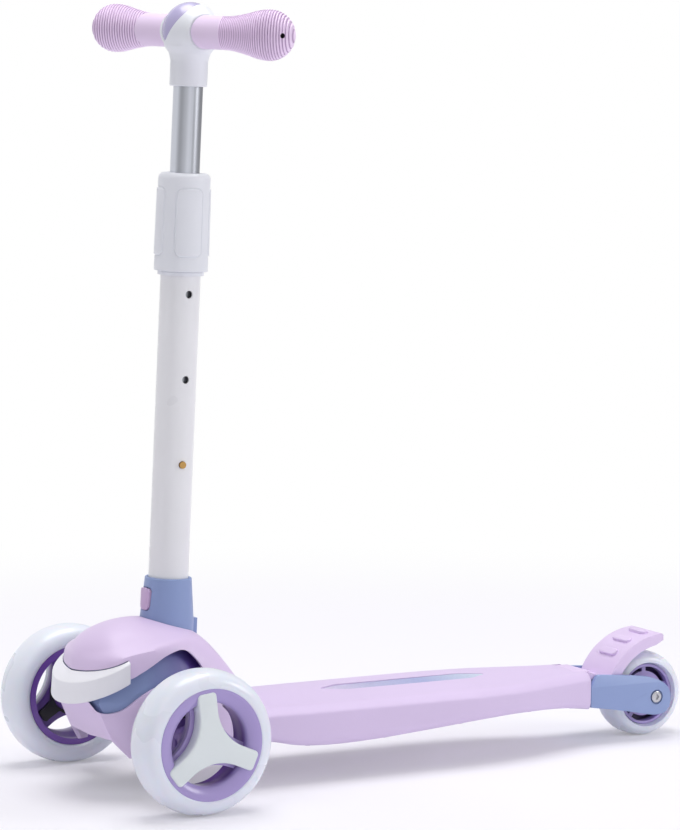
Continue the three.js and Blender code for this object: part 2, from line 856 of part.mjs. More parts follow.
function deck() {
  const shares = deckStationShares.map(([share]) => share);
  const slab = loft(shares.map((share) => deckRing(share, 0)));
  const hollowShares = shares.filter((share) => share > 0 && share < 1);
  let hollow = loft(hollowShares.map((share) => deckRing(share, wall)));
  const pitch = (deckRearY - deckFrontY) / (deckRibs + 1);
  for (let i = 1; i <= deckRibs; i++) {
    const y = deckFrontY + i * pitch;
    hollow = hollow.subtract(
      block([-deckHalfWidth, y - deckRibThickness / 2, -overrun], [deckHalfWidth, y + deckRibThickness / 2, deckTopZ]),
    );
  }
  const slot = block(
    [-brakeHingeHalfWidth - runningGap, brakePinY - brakeHingeRadius - runningGap, forkBlockTopZ - wall],
    [brakeHingeHalfWidth + runningGap, deckRearY + overrun, deckTopZ + deckCrown + overrun],
  );
  const pinReach = brakePinHalf + clearance;
  const pinHole = rod("x", brakePinRadius + clearance, -pinReach, pinReach, [brakePinY, brakePinZ]);
  const pocket = prism("z", inlayOutline(-clearance), inlayFloorZ, deckTopZ + deckCrown + overrun);
  return join(cut(slab, hollow, slot, pinHole, pocket), noseShell());
}

function deckInlay() {
  return prism("z", inlayOutline(0), inlayTopZ - inlayDepth, inlayTopZ);
}

// Truck body and axle beam

function truckBody() {
  const skirt = nosePlan(truckSkirtZ, wall + truckGap);
  const low = nosePlan(truckLowZ, wall + truckGap);
  const rise = truckTopZ - truckSkirtZ;
  const ringAt = (plan, z, [side, front, rear]) =>
    closedPlan(
      plan.map(([x, y]) => [x * side, y < noseSideY ? y * front : y]),
      truckRearY * rear,
      truckRearShare,
    ).map(([x, y]) => new THREE.Vector3(x, y, z));
  const rings = [
    ringAt(low, truckLowZ, [1, 1, 1]),
    ...truckRingShares.map(([height, ...shares]) => ringAt(skirt, truckSkirtZ + rise * height, shares)),
  ];
  const bore = block(
    [-truckBoreHalfWidth, truckBoreFrontY, truckLowZ - overrun],
    [truckBoreHalfWidth, truckBoreRearY, truckTopZ + overrun],
  );
  const beamWay = block(
    [-noseHalfWidth, -beamHalfDepth - clearance, truckLowZ - overrun],
    [noseHalfWidth, beamHalfDepth + clearance, frontAxleZ + beamHalfHeight + clearance],
  );
  const eyeWay = tieEyeRadius + runningGap;
  const rodWay = block(
    [-noseHalfWidth, steerArmY - eyeWay, truckLowZ - overrun],
    [noseHalfWidth, steerArmY + eyeWay, frontAxleZ + tieEyeRadius + runningGap],
  );
  const pivot = rod(
    "y",
    pivotBoltRadius + clearance,
    -noseHalfWidth,
    2 * truckRearY,
    [0, leanPivotZ],
  );
  const headWay = rod(
    "y",
    pivotHeadRadius + clearance,
    -2 * noseHalfWidth,
    truckBoreFrontY - truckFrontWall,
    [0, leanPivotZ],
    tubeFaces,
  );
  const well = rod("z", truckWellRadius, truckWellZ, 2 * truckTopZ, [0, 0], tubeFaces);
  return cut(loft(rings), bore, beamWay, rodWay, pivot, headWay, tilted(well));
}

function axleBeam() {
  const beamShoulderX = noseHalfWidth + beamShoulderGap;
  const beamForkX = kingpinX - beamForkGap;
  const half = [
    [beamShoulderX - beamHalfHeight / 2, frontAxleZ - beamHalfHeight],
    [beamShoulderX, frontAxleZ - barrelHalfHeight - clearance - lugThickness],
    [kingpinX, frontAxleZ - barrelHalfHeight - clearance - lugThickness],
    [kingpinX, frontAxleZ - barrelHalfHeight - clearance],
    [beamForkX, frontAxleZ - barrelHalfHeight - clearance],
    [beamForkX, frontAxleZ + barrelHalfHeight + clearance],
    [kingpinX, frontAxleZ + barrelHalfHeight + clearance],
    [kingpinX, frontAxleZ + barrelHalfHeight + clearance + lugThickness],
    [beamShoulderX, frontAxleZ + barrelHalfHeight + clearance + lugThickness],
    [beamShoulderX - beamHalfHeight / 2, frontAxleZ + beamHalfHeight],
  ];
  const outline = [...half, ...half.map(([x, z]) => [-x, z]).reverse()];
  const bar = prism("y", outline, -beamHalfDepth, beamHalfDepth);
  const lugZ = barrelHalfHeight + clearance;
  const lugs = [-1, 1].flatMap((side) =>
    [
      [frontAxleZ - lugZ - lugThickness, frontAxleZ - lugZ],
      [frontAxleZ + lugZ, frontAxleZ + lugZ + lugThickness],
    ].map(([from, to]) => rod("z", lugRadius, from, to, [side * kingpinX, 0], bossFaces)),
  );
  const holes = [-1, 1].map((side) =>
    rod("z", kingpinRadius + clearance, 0, 2 * frontAxleZ, [side * kingpinX, 0]),
  );
  return cut(join(bar, ...lugs), ...holes);
}

function kingpin() {
  const top = barrelHalfHeight + clearance + lugThickness + clearance;
  return join(
    rod("z", kingpinRadius, -top, top + overrun / 4),
    rod("z", kingpinHeadRadius, top, top + kingpinHeadHeight, [0, 0], 6),
  );
}

function pivotBolt() {
  const front = truckBoreFrontY - truckFrontWall;
  return join(
    rod("y", pivotBoltRadius, front - pivotHeadHeight / 2, truckRearY * truckRingShares[1][3]),
    rod("y", pivotHeadRadius, front - clearance - pivotHeadHeight, front - clearance, [0, 0], 6),
  );
}

// Steering: knuckles, tie rod and the yoke that the column stands on

function knuckle() {
  const bossEnd = wheelX - hubBossBack - clearance - kingpinX;
  const body = join(
    rod("z", barrelRadius, -barrelHalfHeight, barrelHalfHeight, [0, 0], bossFaces),
    rod("x", knuckleBossRadius, 0, bossEnd, [0, 0], bossFaces),
    prism(
      "z",
      rounded(
        [
          [-steerArmHalfWidth, 0, 0],
          [steerArmHalfWidth, 0, 0],
          [steerArmHalfWidth, steerArmLength + steerArmHalfWidth],
          [-steerArmHalfWidth, steerArmLength + steerArmHalfWidth],
        ],
        steerArmCorner,
      ),
      -tieEyeHalfHeight - clearance - steerArmThickness,
      -tieEyeHalfHeight - clearance,
    ),
    rod("z", steerPinRadius, -steerArmThickness, tieEyeHalfHeight + wall / 2, [0, steerArmLength]),
  );
  return cut(
    body,
    rod("z", kingpinRadius + clearance, -2 * barrelHalfHeight, 2 * barrelHalfHeight),
    rod("x", axleRadius + clearance, axleBoltRoot - clearance, 2 * bossEnd),
  );
}

function axleBolt() {
  const from = kingpinX + axleBoltRoot - wheelX;
  const head = hubSpokeFront + clearance;
  return join(
    rod("x", axleRadius, from, head + axleHeadHeight / 2),
    rod("x", axleHeadRadius, head, head + axleHeadHeight, [0, 0], 6),
  );
}

function tieRod() {
  const eye = (side) => rod("z", tieEyeRadius, -tieEyeHalfHeight, tieEyeHalfHeight, [side * kingpinX, 0], bossFaces);
  const hole = (side) =>
    rod("z", steerPinRadius + steerPinGap, -2 * tieEyeHalfHeight, 2 * tieEyeHalfHeight, [side * kingpinX, 0]);
  const body = join(
    rod("x", tieRodRadius, -kingpinX, kingpinX),
    rod("y", tieBossRadius, -tieBossFront, tieBossRear, [0, 0], bossFaces),
    eye(-1),
    eye(1),
  );
  return cut(body, hole(-1), hole(1));
}

function yoke() {
  const [front, rear] = [truckBoreFrontY + clearance, truckBoreRearY - clearance];
  const prongGap = tieBossRadius + clearance;
  const tongueFront = steerArmY + tieRodRadius + runningGap;
  const tongue = prism(
    "y",
    [
      [-tongueHalfWidth, leanPivotZ],
      [-tongueHalfWidth, tongueLowZ],
      [-prongGap, tongueLowZ],
      [-prongGap, frontAxleZ + tieBossRadius + wall],
      [prongGap, frontAxleZ + tieBossRadius + wall],
      [prongGap, tongueLowZ],
      [tongueHalfWidth, tongueLowZ],
      [tongueHalfWidth, leanPivotZ],
    ],
    tongueFront,
    tongueFront + tongueDepth,
  );
  const cupFloor = rod("z", yokeCupRadius, leanPivotZ, yokeCupTopZ, [0, 0], bossFaces);
  const seat = rod("z", outerTubeRadius - outerTubeWall - clearance, yokeCupFloorZ, 2 * yokeCupTopZ, [0, 0], bossFaces);
  const body = join(rod("y", yokeBarrelRadius, front, rear, [0, leanPivotZ], bossFaces), tongue, tilted(cupFloor));
  const bolt = rod("y", pivotBoltRadius + clearance, front - overrun, rear + overrun, [0, leanPivotZ]);
  return cut(body, bolt, tilted(seat));
}

function leanCushion() {
  return prism(
    "y",
    rounded(
      rectangle(tongueHalfWidth + clearance, cushionLowZ, truckBoreHalfWidth - clearance, cushionHighZ),
      cushionCorner,
      2,
    ),
    cushionMiddleY - cushionHalfDepth,
    cushionMiddleY + cushionHalfDepth,
  );
}

// Wheels

function tyre(radius, width, seat, side, bead) {
  const half = width / 2;
  const crown = [];
  for (let k = 0; k <= tyreCrownSteps; k++) {
    const turn = (k / tyreCrownSteps - 0.5) * Math.PI;
    const power = 2 / tyreCrownPower;
    crown.push([
      half * Math.sign(Math.sin(turn)) * Math.abs(Math.sin(turn)) ** power,
      side + (radius - side) * Math.cos(turn) ** power,
    ]);
  }
  return turned("x", [[-bead, seat], ...crown, [bead, seat]], tyreFaces);
}

// Three-armed star across x, as (y, z) points
function star(halfWidth, tipRadius, tipCorner, fillet) {
  const corners = [];
  for (let arm = 0; arm < 3; arm++) {
    const turn = (starPhaseDegrees + arm * 120) * degree;
    const [outward, across] = [
      [Math.cos(turn), Math.sin(turn)],
      [-Math.sin(turn), Math.cos(turn)],
    ];
    const at = (out, side, ...rest) => [
      outward[0] * out + across[0] * side,
      outward[1] * out + across[1] * side,
      ...rest,
    ];
    corners.push(at(halfWidth / Math.tan(60 * degree), -halfWidth, fillet, 5));
    corners.push(at(tipRadius, -halfWidth, tipCorner, 2));
    corners.push(at(tipRadius, halfWidth, tipCorner, 2));
  }
  return rounded(corners, 0);
}

function hubRim() {
  const face = frontTyreWidth / 2;
  const lip = frontTyreSide - clearance;
  return turned(
    "x",
    [
      [-frontBeadHalfWidth, hubBarrelRadius],
      [-frontBeadHalfWidth, frontTyreSeat - clearance],
      [frontBeadHalfWidth + clearance, frontTyreSeat - clearance],
      [face + clearance, lip],
      [face + clearance + hubCove / 8, lip - hubCove / 4],
      [face - hubCove / 4, (lip + hubOpeningRadius) / 2],
      [face - hubCove, hubOpeningRadius],
      [hubSpokeFront - hubSpokeDepth, hubOpeningRadius],
      [hubSpokeFront - hubSpokeDepth - hubCove, hubBarrelRadius],
    ],
    hubFaces,
  );
}

function frontHub() {
  const spokes = prism(
    "x",
    star(starHalfWidth + spokeMargin, frontTyreSeat - hubCove, starTipCorner, starFillet),
    hubSpokeFront - hubSpokeDepth,
    hubSpokeFront,
  );
  const boss = rod("x", hubBossRadius, -hubBossBack, hubSpokeFront, [0, 0], bossFaces);
  const pocket = bearingRadius + clearance;
  return cut(
    join(hubRim(), spokes, boss),
    rod("x", bearingRadius - wall, -2 * hubBossBack, 2 * hubBossBack, [0, 0], bossFaces),
    rod("x", pocket, -hubBossBack - overrun, -hubBossBack + bearingWidth + clearance, [0, 0], bossFaces),
    rod("x", pocket, hubSpokeFront - bearingWidth - clearance, hubSpokeFront + overrun, [0, 0], bossFaces),
  );
}

function hubCap() {
  const back = hubSpokeFront + clearance;
  const shell = prism("x", star(starHalfWidth, starTipRadius, starTipCorner, starFillet), back, capFace);
  const inside = prism(
    "x",
    star(starHalfWidth - capWall, starTipRadius - capWall, starTipCorner / 2, starFillet + capWall),
    back - overrun,
    capFace - capWall,
  );
  return cut(shell, inside, capWay());
}

// What the cap leaves free for the rim: its coved face, and all that lies outside it
function capWay() {
  const face = frontTyreWidth / 2;
  const lip = frontTyreSide - clearance;
  return turned(
    "x",
    [
      [0, hubOpeningRadius - clearance],
      [0, 2 * frontTyreSide],
      [face + 2 * clearance + hubCove / 8, 2 * frontTyreSide],
      [face + 2 * clearance + hubCove / 8, lip - hubCove / 4],
      [face - hubCove / 4 + clearance, (lip + hubOpeningRadius) / 2],
      [face - hubCove + clearance, hubOpeningRadius - clearance],
    ],
    hubFaces,
  );
}

function hubLamp() {
  const face = hubSpokeFront - hubSpokeDepth - clearance;
  const plate = prism("x", star(lampHalfWidth, lampTipRadius, starTipCorner / 2, starFillet), face - lampThickness, face);
  const around = ring("x", hubBossRadius + 2 * clearance, hubBossRadius + wall, face - lampThickness, face, bossFaces);
  const bossWay = rod("x", hubBossRadius + 2 * clearance, -2 * hubBossBack, 2 * hubBossBack, [0, 0], bossFaces);
  return join(cut(plate, bossWay), around);
}

function bearing() {
  return ring("x", bearingBore, bearingRadius, 0, bearingWidth, bossFaces);
}

function rearHub() {
  const rim = ring("x", rearWindowOuter, rearRimRadius, -rearBeadHalfWidth, rearBeadHalfWidth, hubFaces);
  const drum = rod("x", rearWindowInner, -rearWebHalfWidth, rearWebHalfWidth, [0, 0], tubeFaces);
  const boss = rod("x", rearBossRadius, -rearBossHalfWidth, rearBossHalfWidth, [0, 0], bossFaces);
  const discRadius = (rearWindowOuter + rearRimRadius) / 2;
  const disc = rod("x", discRadius, -rearDiscThickness / 2, rearDiscThickness / 2, [0, 0], hubFaces);
  const spokes = [];
  for (let k = 0; k < rearSpokes; k++) {
    const spoke = new THREE.BoxGeometry(
      2 * rearWebHalfWidth,
      rearSpokeWidth,
      rearWindowOuter - rearWindowInner + wall,
    ).translate(0, 0, (rearWindowOuter + rearWindowInner) / 2);
    spokes.push(solid(spoke.rotateX((k * 2 * Math.PI) / rearSpokes)));
  }
  const pocket = (side) => {
    const [from, to] = [side * (rearBossHalfWidth - bearingWidth - clearance), side * (rearBossHalfWidth + overrun)];
    return rod("x", bearingRadius + clearance, Math.min(from, to), Math.max(from, to), [0, 0], bossFaces);
  };
  return cut(
    join(rim, drum, boss, disc, ...spokes),
    rod("x", bearingRadius - wall, -2 * rearBossHalfWidth, 2 * rearBossHalfWidth, [0, 0], bossFaces),
    pocket(-1),
    pocket(1),
  );
}

// Cover, bumper and socket

function coverCrown(y) {
  if (y < coverTopY) {
    const reach = THREE.MathUtils.clamp((coverTopY - y) / (coverTopY - coverFrontY), 0, 1);
    const share = (1 - reach ** coverFrontPower) ** (1 / coverFrontPower);
    return coverFrontZ + (coverCrownZ - coverFrontZ) * share;
  }
  const share = (y - coverTopY) / (coverRearY - coverTopY);
  return deckTopZ + (coverCrownZ - deckTopZ) * between(coverRearShares, share, 1);
}

function coverHalf(y) {
  if (y < coverBumperY) {
    const reach = (coverBumperY - y) / (coverBumperY - coverFrontY);
    return coverBumperHalfWidth * Math.sqrt(Math.max(1 - reach * reach, 0));
  }
  if (y < coverTopY) {
    const t = (y - coverBumperY) / (coverTopY - coverBumperY);
    return THREE.MathUtils.lerp(coverBumperHalfWidth, coverHalfWidth, Math.sin((t * Math.PI) / 2));
  }
  const share = (y - coverTopY) / (coverRearY - coverTopY);
  return coverHalfWidth * between(coverRearShares, share, 2);
}

function coverRing(y, inset) {
  const [crown, half] = [coverCrown(y) - inset, coverHalf(y) - inset];
  const base = Math.min(coverBaseZ, deckTopZ + (crown - deckTopZ) / 4);
  const low = Math.min(coverBaseZ, deckTopZ) - wall - inset;
  const power = 2 / between(coverSquareShares, (y - coverFrontY) / (coverRearY - coverFrontY));
  const right = [[0, low], [half, low]];
  for (let k = 0; k <= coverSideSteps; k++) {
    const turn = (k / coverSideSteps) * (Math.PI / 2);
    right.push([half * Math.cos(turn) ** power, base + (crown - base) * Math.sin(turn) ** power]);
  }
  right.at(-1)[0] = 0;
  const left = right.slice(1, -1).map(([x, z]) => [-x, z]);
  return [...right, ...left.reverse()].map(([x, z]) => new THREE.Vector3(x, y, z));
}

function coverStations(front, rear) {
  const head = coverPlaceShares.map((share) => front + share * (coverTopY - front));
  const tail = coverRearShares.slice(1).map(([share]) => coverTopY + share * (rear - coverTopY));
  return [...head, ...tail];
}

// The bumper's section at a turn from its right end round the front to its left end
function bumperRing(turn, points) {
  const front = Math.cos(turn);
  return points.map(
    ([x, reach, frontZ, endZ]) =>
      new THREE.Vector3(x * Math.sin(turn), coverBumperY - reach * front, endZ + (frontZ - endZ) * front),
  );
}

function bumperSkin(points, spread = 0) {
  const rings = [];
  for (let k = 0; k <= bumperSteps; k++) {
    const turn = (k / bumperSteps - 0.5) * (Math.PI + spread);
    rings.push(bumperRing(turn, points));
  }
  return loft(rings);
}

const bumperTopReach = coverBumperY - coverFrontY - clearance;

function bumper() {
  const half = coverBumperHalfWidth;
  const reach = bumperReach;
  const topX = half - bumperInsetX;
  return bumperSkin([
    [topX, bumperTopReach, coverFrontZ, bumperTopEndZ],
    [half, reach - bumperCreaseInset, bumperCreaseFrontZ, bumperCreaseEndZ],
    [half, reach, bumperLowFrontZ + wall / 3, bumperLowEndZ + wall / 3],
    [half - wall / 3, reach - wall / 3, bumperLowFrontZ, bumperLowEndZ],
    [half - bumperWall, reach - bumperWall, bumperLowFrontZ, bumperLowEndZ],
    [half - bumperWall, reach - bumperWall - wall / 3, bumperCreaseFrontZ - wall / 2, bumperCreaseEndZ - wall],
    [topX, bumperTopReach, coverFrontZ - bumperWall, bumperTopEndZ - bumperWall],
  ]);
}

// The space that the bumper fills, and everything outside and below it
function bumperSpace() {
  const half = coverBumperHalfWidth;
  const topX = half - bumperInsetX - clearance;
  return bumperSkin([
    [topX, bumperTopReach - clearance, coverFrontZ + clearance, bumperTopEndZ + clearance],
    [2 * half, 2 * bumperReach, coverFrontZ + clearance, bumperTopEndZ + clearance],
    [2 * half, 2 * bumperReach, 0, 0],
    [topX, bumperTopReach - clearance, 0, 0],
  ]);
}

function topCover() {
  const outside = loft(coverStations(coverFrontY, coverRearY).map((y) => coverRing(y, 0)));
  const inside = loft(
    coverStations(coverFrontY + coverWall, coverRearY - coverWall).map((y) => coverRing(y, coverWall)),
  );
  const length = coverRearY - coverBumperY;
  const edge = smooth(
    coverEdgeShares.map(([a, b]) => [coverBumperY + a * length, deckTopZ + b * (coverArchZ - deckTopZ)]),
    20,
  );
  const below = prism("x", [...edge, [edge.at(-1)[0], 0], [edge[0][0], 0]], -2 * coverHalfWidth, 2 * coverHalfWidth);
  const hole = rod("z", socketLowRadius + 2 * clearance, socketLow - overrun, 2 * socketTop, [0, 0], tubeFaces);
  const tab = block(
    [-socketTabWidth / 2 - clearance, 0, socketLow],
    [socketTabWidth / 2 + clearance, socketLowRadius + socketTabDepth + clearance, socketTop],
  );
  return cut(outside, inside, below, bumperSpace(), tilted(hole), tilted(tab));
}

// Socket, release button and latch, along the column's axis

function buttonOutline(grow) {
  return rounded(
    rectangle(
      -buttonWidth / 2 - grow,
      buttonMiddle - buttonHeight / 2 - grow,
      buttonWidth / 2 + grow,
      buttonMiddle + buttonHeight / 2 + grow,
    ),
    buttonCorner,
    2,
  );
}

const buttonFaceRadius = (socketTopRadius + socketLowRadius) / 2 + buttonProud;
const buttonBackRadius = outerTubeRadius + clearance + buttonTravel + clearance;

function socket() {
  const bore = outerTubeRadius + clearance;
  const sleeve = turned(
    "z",
    [
      [socketLow, bore],
      [socketLow, socketFlangeRadius],
      [socketFlangeTop, socketFlangeRadius],
      [socketFlangeTop, socketLowRadius],
      [socketShoulder, socketLowRadius],
      [socketTop - wall / 2, socketTopRadius],
      [socketTop, socketTopRadius - wall / 3],
      [socketTop, bore],
    ],
    tubeFaces,
  );
  const tab = block(
    [-socketTabWidth / 2, (bore + socketLowRadius) / 2, socketTabLow],
    [socketTabWidth / 2, socketLowRadius + socketTabDepth, socketTabTop],
  );
  const opening = prism("y", buttonOutline(buttonGap), -2 * socketLowRadius, 0);
  const latchWay = block(
    [-latchWidth / 2 - clearance, -outerTubeRadius - 4 * latchThickness, socketShoulder - latchTail],
    [latchWidth / 2 + clearance, 0, buttonMiddle],
  );
  return cut(join(sleeve, tab), opening, latchWay, rod("z", bore, 0, 2 * socketTop, [0, 0], tubeFaces));
}

function releaseButton() {
  const plug = prism("y", buttonOutline(0), -2 * socketLowRadius, 0);
  const shell = ring(
    "z",
    buttonBackRadius,
    buttonFaceRadius,
    buttonMiddle - buttonHeight,
    buttonMiddle + buttonHeight,
    2 * tubeFaces,
  );
  return plug.intersect(shell);
}

function latchSpring() {
  const outer = -outerTubeRadius - clearance - latchThickness;
  const leaf = block(
    [-latchWidth / 2, outer, socketShoulder - latchTail + clearance],
    [latchWidth / 2, outer + latchThickness, buttonMiddle + latchToothRadius],
  );
  const tooth = rod(
    "y",
    latchToothRadius,
    outer + latchThickness / 2,
    -outerTubeRadius + outerTubeWall,
    [0, buttonMiddle],
  );
  return join(leaf, tooth);
}

// Column

function outerTube() {
  const holes = [];
  for (let k = 0; k < holeCount; k++)
    holes.push(rod("x", holeRadius, 0, 2 * outerTubeRadius, [0, lowestHole + k * holeSpacing]));
  return cut(
    ring("z", outerTubeRadius - outerTubeWall, outerTubeRadius, outerTubeLow, outerTubeTop),
    ...holes,
    rod("y", latchHoleRadius, -2 * outerTubeRadius, 0, [0, buttonMiddle]),
  );
}

function tubeBush() {
  const bore = outerTubeRadius + clearance;
  return turned(
    "z",
    [
      [bushLow, bore],
      [bushLow, bushFlangeRadius],
      [bushLow + bushFlange, bushFlangeRadius],
      [bushLow + bushFlange, bushRadius],
      [bushTop, bushRadius],
      [bushTop, innerTubeRadius + clearance],
      [outerTubeTop + clearance, innerTubeRadius + clearance],
      [outerTubeTop + clearance, bore],
    ],
    tubeFaces,
  );
}

function clampCollar() {
  const bore = bushRadius + clearance;
  const edge = [];
  for (let k = 0; k <= 3; k++) {
    const turn = (k / 3) * (Math.PI / 2);
    edge.push([
      collarTop - collarEdgeRadius * (1 - Math.sin(turn)),
      collarTopRadius - collarEdgeRadius * (1 - Math.cos(turn)),
    ]);
  }
  const shell = turned(
    "z",
    [
      [collarLow, bore],
      [collarLow, collarLowRadius],
      ...edge,
      [collarTop, innerTubeRadius + clearance],
      [bushTop + clearance, innerTubeRadius + clearance],
      [bushTop + clearance, bore],
    ],
    collarFaces,
  );
  const middle = (collarLow + collarTop) / 2;
  const proudAt = (z) =>
    THREE.MathUtils.mapLinear(z, collarLow, collarTop, collarLowRadius, collarTopRadius) + collarPanelProud;
  const [low, high] = [middle - collarPanelHeight / 2, middle + collarPanelHeight / 2];
  const skin = turned(
    "z",
    [
      [low, bore + wall / 3],
      [low, proudAt(low)],
      [high, proudAt(high)],
      [high, bore + wall / 3],
    ],
    collarFaces,
  );
  const halfWidth = collarTopRadius * Math.sin((collarPanelDegrees / 2) * degree);
  const outline = rounded(rectangle(-halfWidth, low, halfWidth, high), collarPanelCorner, 2);
  const panels = [];
  for (let k = 0; k < collarPanels; k++) {
    const shape = new THREE.Shape(outline.map(([a, b]) => new THREE.Vector2(a, b)));
    const panel = new THREE.ExtrudeGeometry(shape, { depth: 2 * collarLowRadius, bevelEnabled: false })
      .rotateX(Math.PI / 2)
      .rotateZ(collarPanelPhaseDegrees * degree + (k * 2 * Math.PI) / collarPanels);
    panels.push(skin.intersect(solid(panel)));
  }
  return join(shell, ...panels);
}

function innerTube() {
  const top = handleHeight - barRadius - clearance;
  return cut(
    ring("z", innerTubeRadius - innerTubeWall, innerTubeRadius, innerTubeLow, top),
    rod("x", snapRadius + clearance, 0, 2 * innerTubeRadius, [0, lowestHole]),
  );
}

function tubePlug() {
  const inside = innerTubeRadius - innerTubeWall - clearance;
  return turned(
    "z",
    [
      [innerTubeLow - wall, 0],
      [innerTubeLow - wall, innerTubeRadius],
      [innerTubeLow - clearance, innerTubeRadius],
      [innerTubeLow - clearance, inside],
      [innerTubeLow + plugHeight, inside],
      [innerTubeLow + plugHeight, 0],
    ],
    tubeFaces,
  );
}

// The head and the bar lie along x through the handle's height

function headBulb(sink, faces) {
  const right = [];
  for (let k = 0; k <= headSteps; k++) {
    const t = k / headSteps;
    const eased = t * t * (3 - 2 * t);
    right.push([t * headHalfWidth, headRadius + (headNeckRadius - headRadius) * eased - sink]);
  }
  const left = right.slice(1).map(([x, r]) => [-x, r]).reverse();
  return turned("x", [[-headHalfWidth, 0], ...left, ...right, [headHalfWidth, 0]], faces);
}

// The lens between the head's flanks: its half width grows from nothing at its tips to its full width at the top
function insertLens(grow, inner, outer) {
  const rings = [];
  for (let k = 0; k <= insertSteps; k++) {
    const share = k / insertSteps;
    const turn = THREE.MathUtils.lerp(insertTipDegrees, insertRearDegrees, share) * degree;
    const half = insertHalfWidth * Math.sin(share * Math.PI) ** insertPower + grow + clearance;
    const at = (x, radius) => new THREE.Vector3(x, -radius * Math.cos(turn), radius * Math.sin(turn));
    rings.push([at(-half, inner), at(half, inner), at(half, outer), at(-half, outer)]);
  }
  return loft(rings);
}

function handleHead() {
  const sleeve = solid(
    new THREE.LatheGeometry(
      [
        [0, headSleeveLow - handleHeight],
        [headSleeveRadius, headSleeveLow - handleHeight],
        [headSleeveRadius, headSleeveTop - handleHeight - wall],
        [headSleeveRadius + wall / 2, headSleeveTop - handleHeight + wall],
        [headSleeveRadius + 2 * wall, headSleeveTop - handleHeight + 3 * wall],
        [0, 0],
      ].map(([radius, z]) => new THREE.Vector2(radius, z)),
      tubeFaces,
    ).rotateX(Math.PI / 2),
  );
  const bar = rod("x", barRadius + clearance, -2 * headHalfWidth, 2 * headHalfWidth, [0, 0], tubeFaces);
  const tube = rod("z", innerTubeRadius + clearance, -handleHeight, 0, [0, 0], tubeFaces);
  const recess = insertLens(clearance, insertInnerRadius - clearance, 2 * headRadius);
  return cut(join(headBulb(0, hubFaces), sleeve), bar, tube, recess);
}

function headInsert() {
  return insertLens(0, insertInnerRadius, 2 * headRadius).intersect(headBulb(insertSink, hubFaces));
}

function crossBar() {
  return ring("x", barRadius - barWall, barRadius, -barHalfLength, barHalfLength);
}

function handGrip() {
  const bore = barRadius + clearance;
  const outline = smooth(
    gripShares.map(([out, swell]) => [
      gripInner + (gripBulbX - gripInner) * out,
      gripNeckRadius + (gripBulbRadius - gripNeckRadius) * swell,
    ]),
    gripSteps,
  );
  const dome = [];
  for (let k = 1; k <= gripDomeSteps; k++) {
    const turn = (k / gripDomeSteps) * (Math.PI / 2);
    const radius = Math.max(gripBulbRadius * Math.cos(turn), gripVentRadius);
    dome.push([gripBulbX + gripBulbRadius * Math.sin(turn), radius]);
  }
  const profile = [
    [gripInner, bore],
    ...outline,
    ...dome,
    [barHalfLength + clearance, gripVentRadius],
    [barHalfLength + clearance, bore],
  ];
  return turned("x", profile, gripFaces);
}

// Snap button and the bent spring that pushes it out through the tubes

function snapButton() {
  const face = outerTubeRadius + snapProud;
  const back = snapSeat;
  return join(
    rod("x", snapRadius, back - snapCollarThickness / 2, face),
    rod("x", snapCollarRadius, back - snapCollarThickness, back, [0, 0], tubeFaces),
  );
}

function snapSpring() {
  const reach = snapSeat - clearance - snapCollarThickness;
  const t = snapSpringThickness;
  const outline = [
    [reach, snapCollarRadius],
    [reach, -snapCollarRadius],
    [reach - t, -snapCollarRadius],
    [reach - t, 0],
    [-reach + t, snapSpringLength - t],
    [-reach + t, 0],
    [-reach, 0],
    [-reach, snapSpringLength],
    [-reach + 2 * t, snapSpringLength],
  ];
  return prism("y", outline, -snapSpringWidth / 2, snapSpringWidth / 2);
}

// Rear fork and brake

function rearFork() {
  const [length, height] = [forkReachY - forkFrontY, forkHighZ - forkLowZ];
  const side = forkOutlineShares.map(([a, b]) => [forkFrontY + a * length, forkLowZ + b * height]);
  const whole = prism("x", side, -forkOuterX, forkOuterX);
  const innerX = forkOuterX - forkArmThickness;
  const wheelRoom = block([-innerX, forkBlockRearY, 0], [innerX, 2 * forkReachY, 2 * forkHighZ]);
  const above = block([-innerX, 0, forkBlockTopZ], [innerX, 2 * forkReachY, 2 * forkHighZ]);
  const bossAt = (s) => {
    const [from, to] = [s * (innerX - forkBossHeight), s * (innerX + wall)];
    return rod("x", forkBossRadius, Math.min(from, to), Math.max(from, to), [wheelbase, rearAxleZ], bossFaces);
  };
  const recessAt = (s) => {
    const [from, to] = [s * (forkOuterX - forkRecessDepth), s * (forkOuterX + overrun)];
    return rod("x", forkRecessRadius, Math.min(from, to), Math.max(from, to), [wheelbase, rearAxleZ], bossFaces);
  };
  const hole = rod("x", axleRadius + clearance, -2 * forkOuterX, 2 * forkOuterX, [wheelbase, rearAxleZ]);
  return cut(join(cut(whole, wheelRoom, above), bossAt(-1), bossAt(1)), recessAt(-1), recessAt(1), hole);
}

function rearBolt() {
  const seat = forkOuterX - forkRecessDepth + clearance;
  return join(
    rod("x", axleRadius, -forkOuterX + overrun / 4, seat + rearBoltHeadHeight / 2),
    turned(
      "x",
      [
        [seat, 0],
        [seat, rearBoltHeadRadius],
        [seat + rearBoltHeadHeight / 2, rearBoltHeadRadius],
        [seat + rearBoltHeadHeight, rearBoltHeadRadius / 2],
        [seat + rearBoltHeadHeight, 0],
      ],
      bossFaces,
    ),
  );
}

function rearNut() {
  const seat = forkOuterX - forkRecessDepth + clearance;
  return cut(
    rod("x", rearNutRadius, -seat - rearBoltHeadHeight, -seat, [0, 0], 6),
    rod("x", axleRadius + clearance, -2 * forkOuterX, 0),
  );
}

// A point on the brake's arc, at an angle measured from behind the rear axle over its top
function brakePoint(radius, degrees) {
  return [wheelbase + radius * Math.cos(degrees * degree), rearAxleZ + radius * Math.sin(degrees * degree)];
}

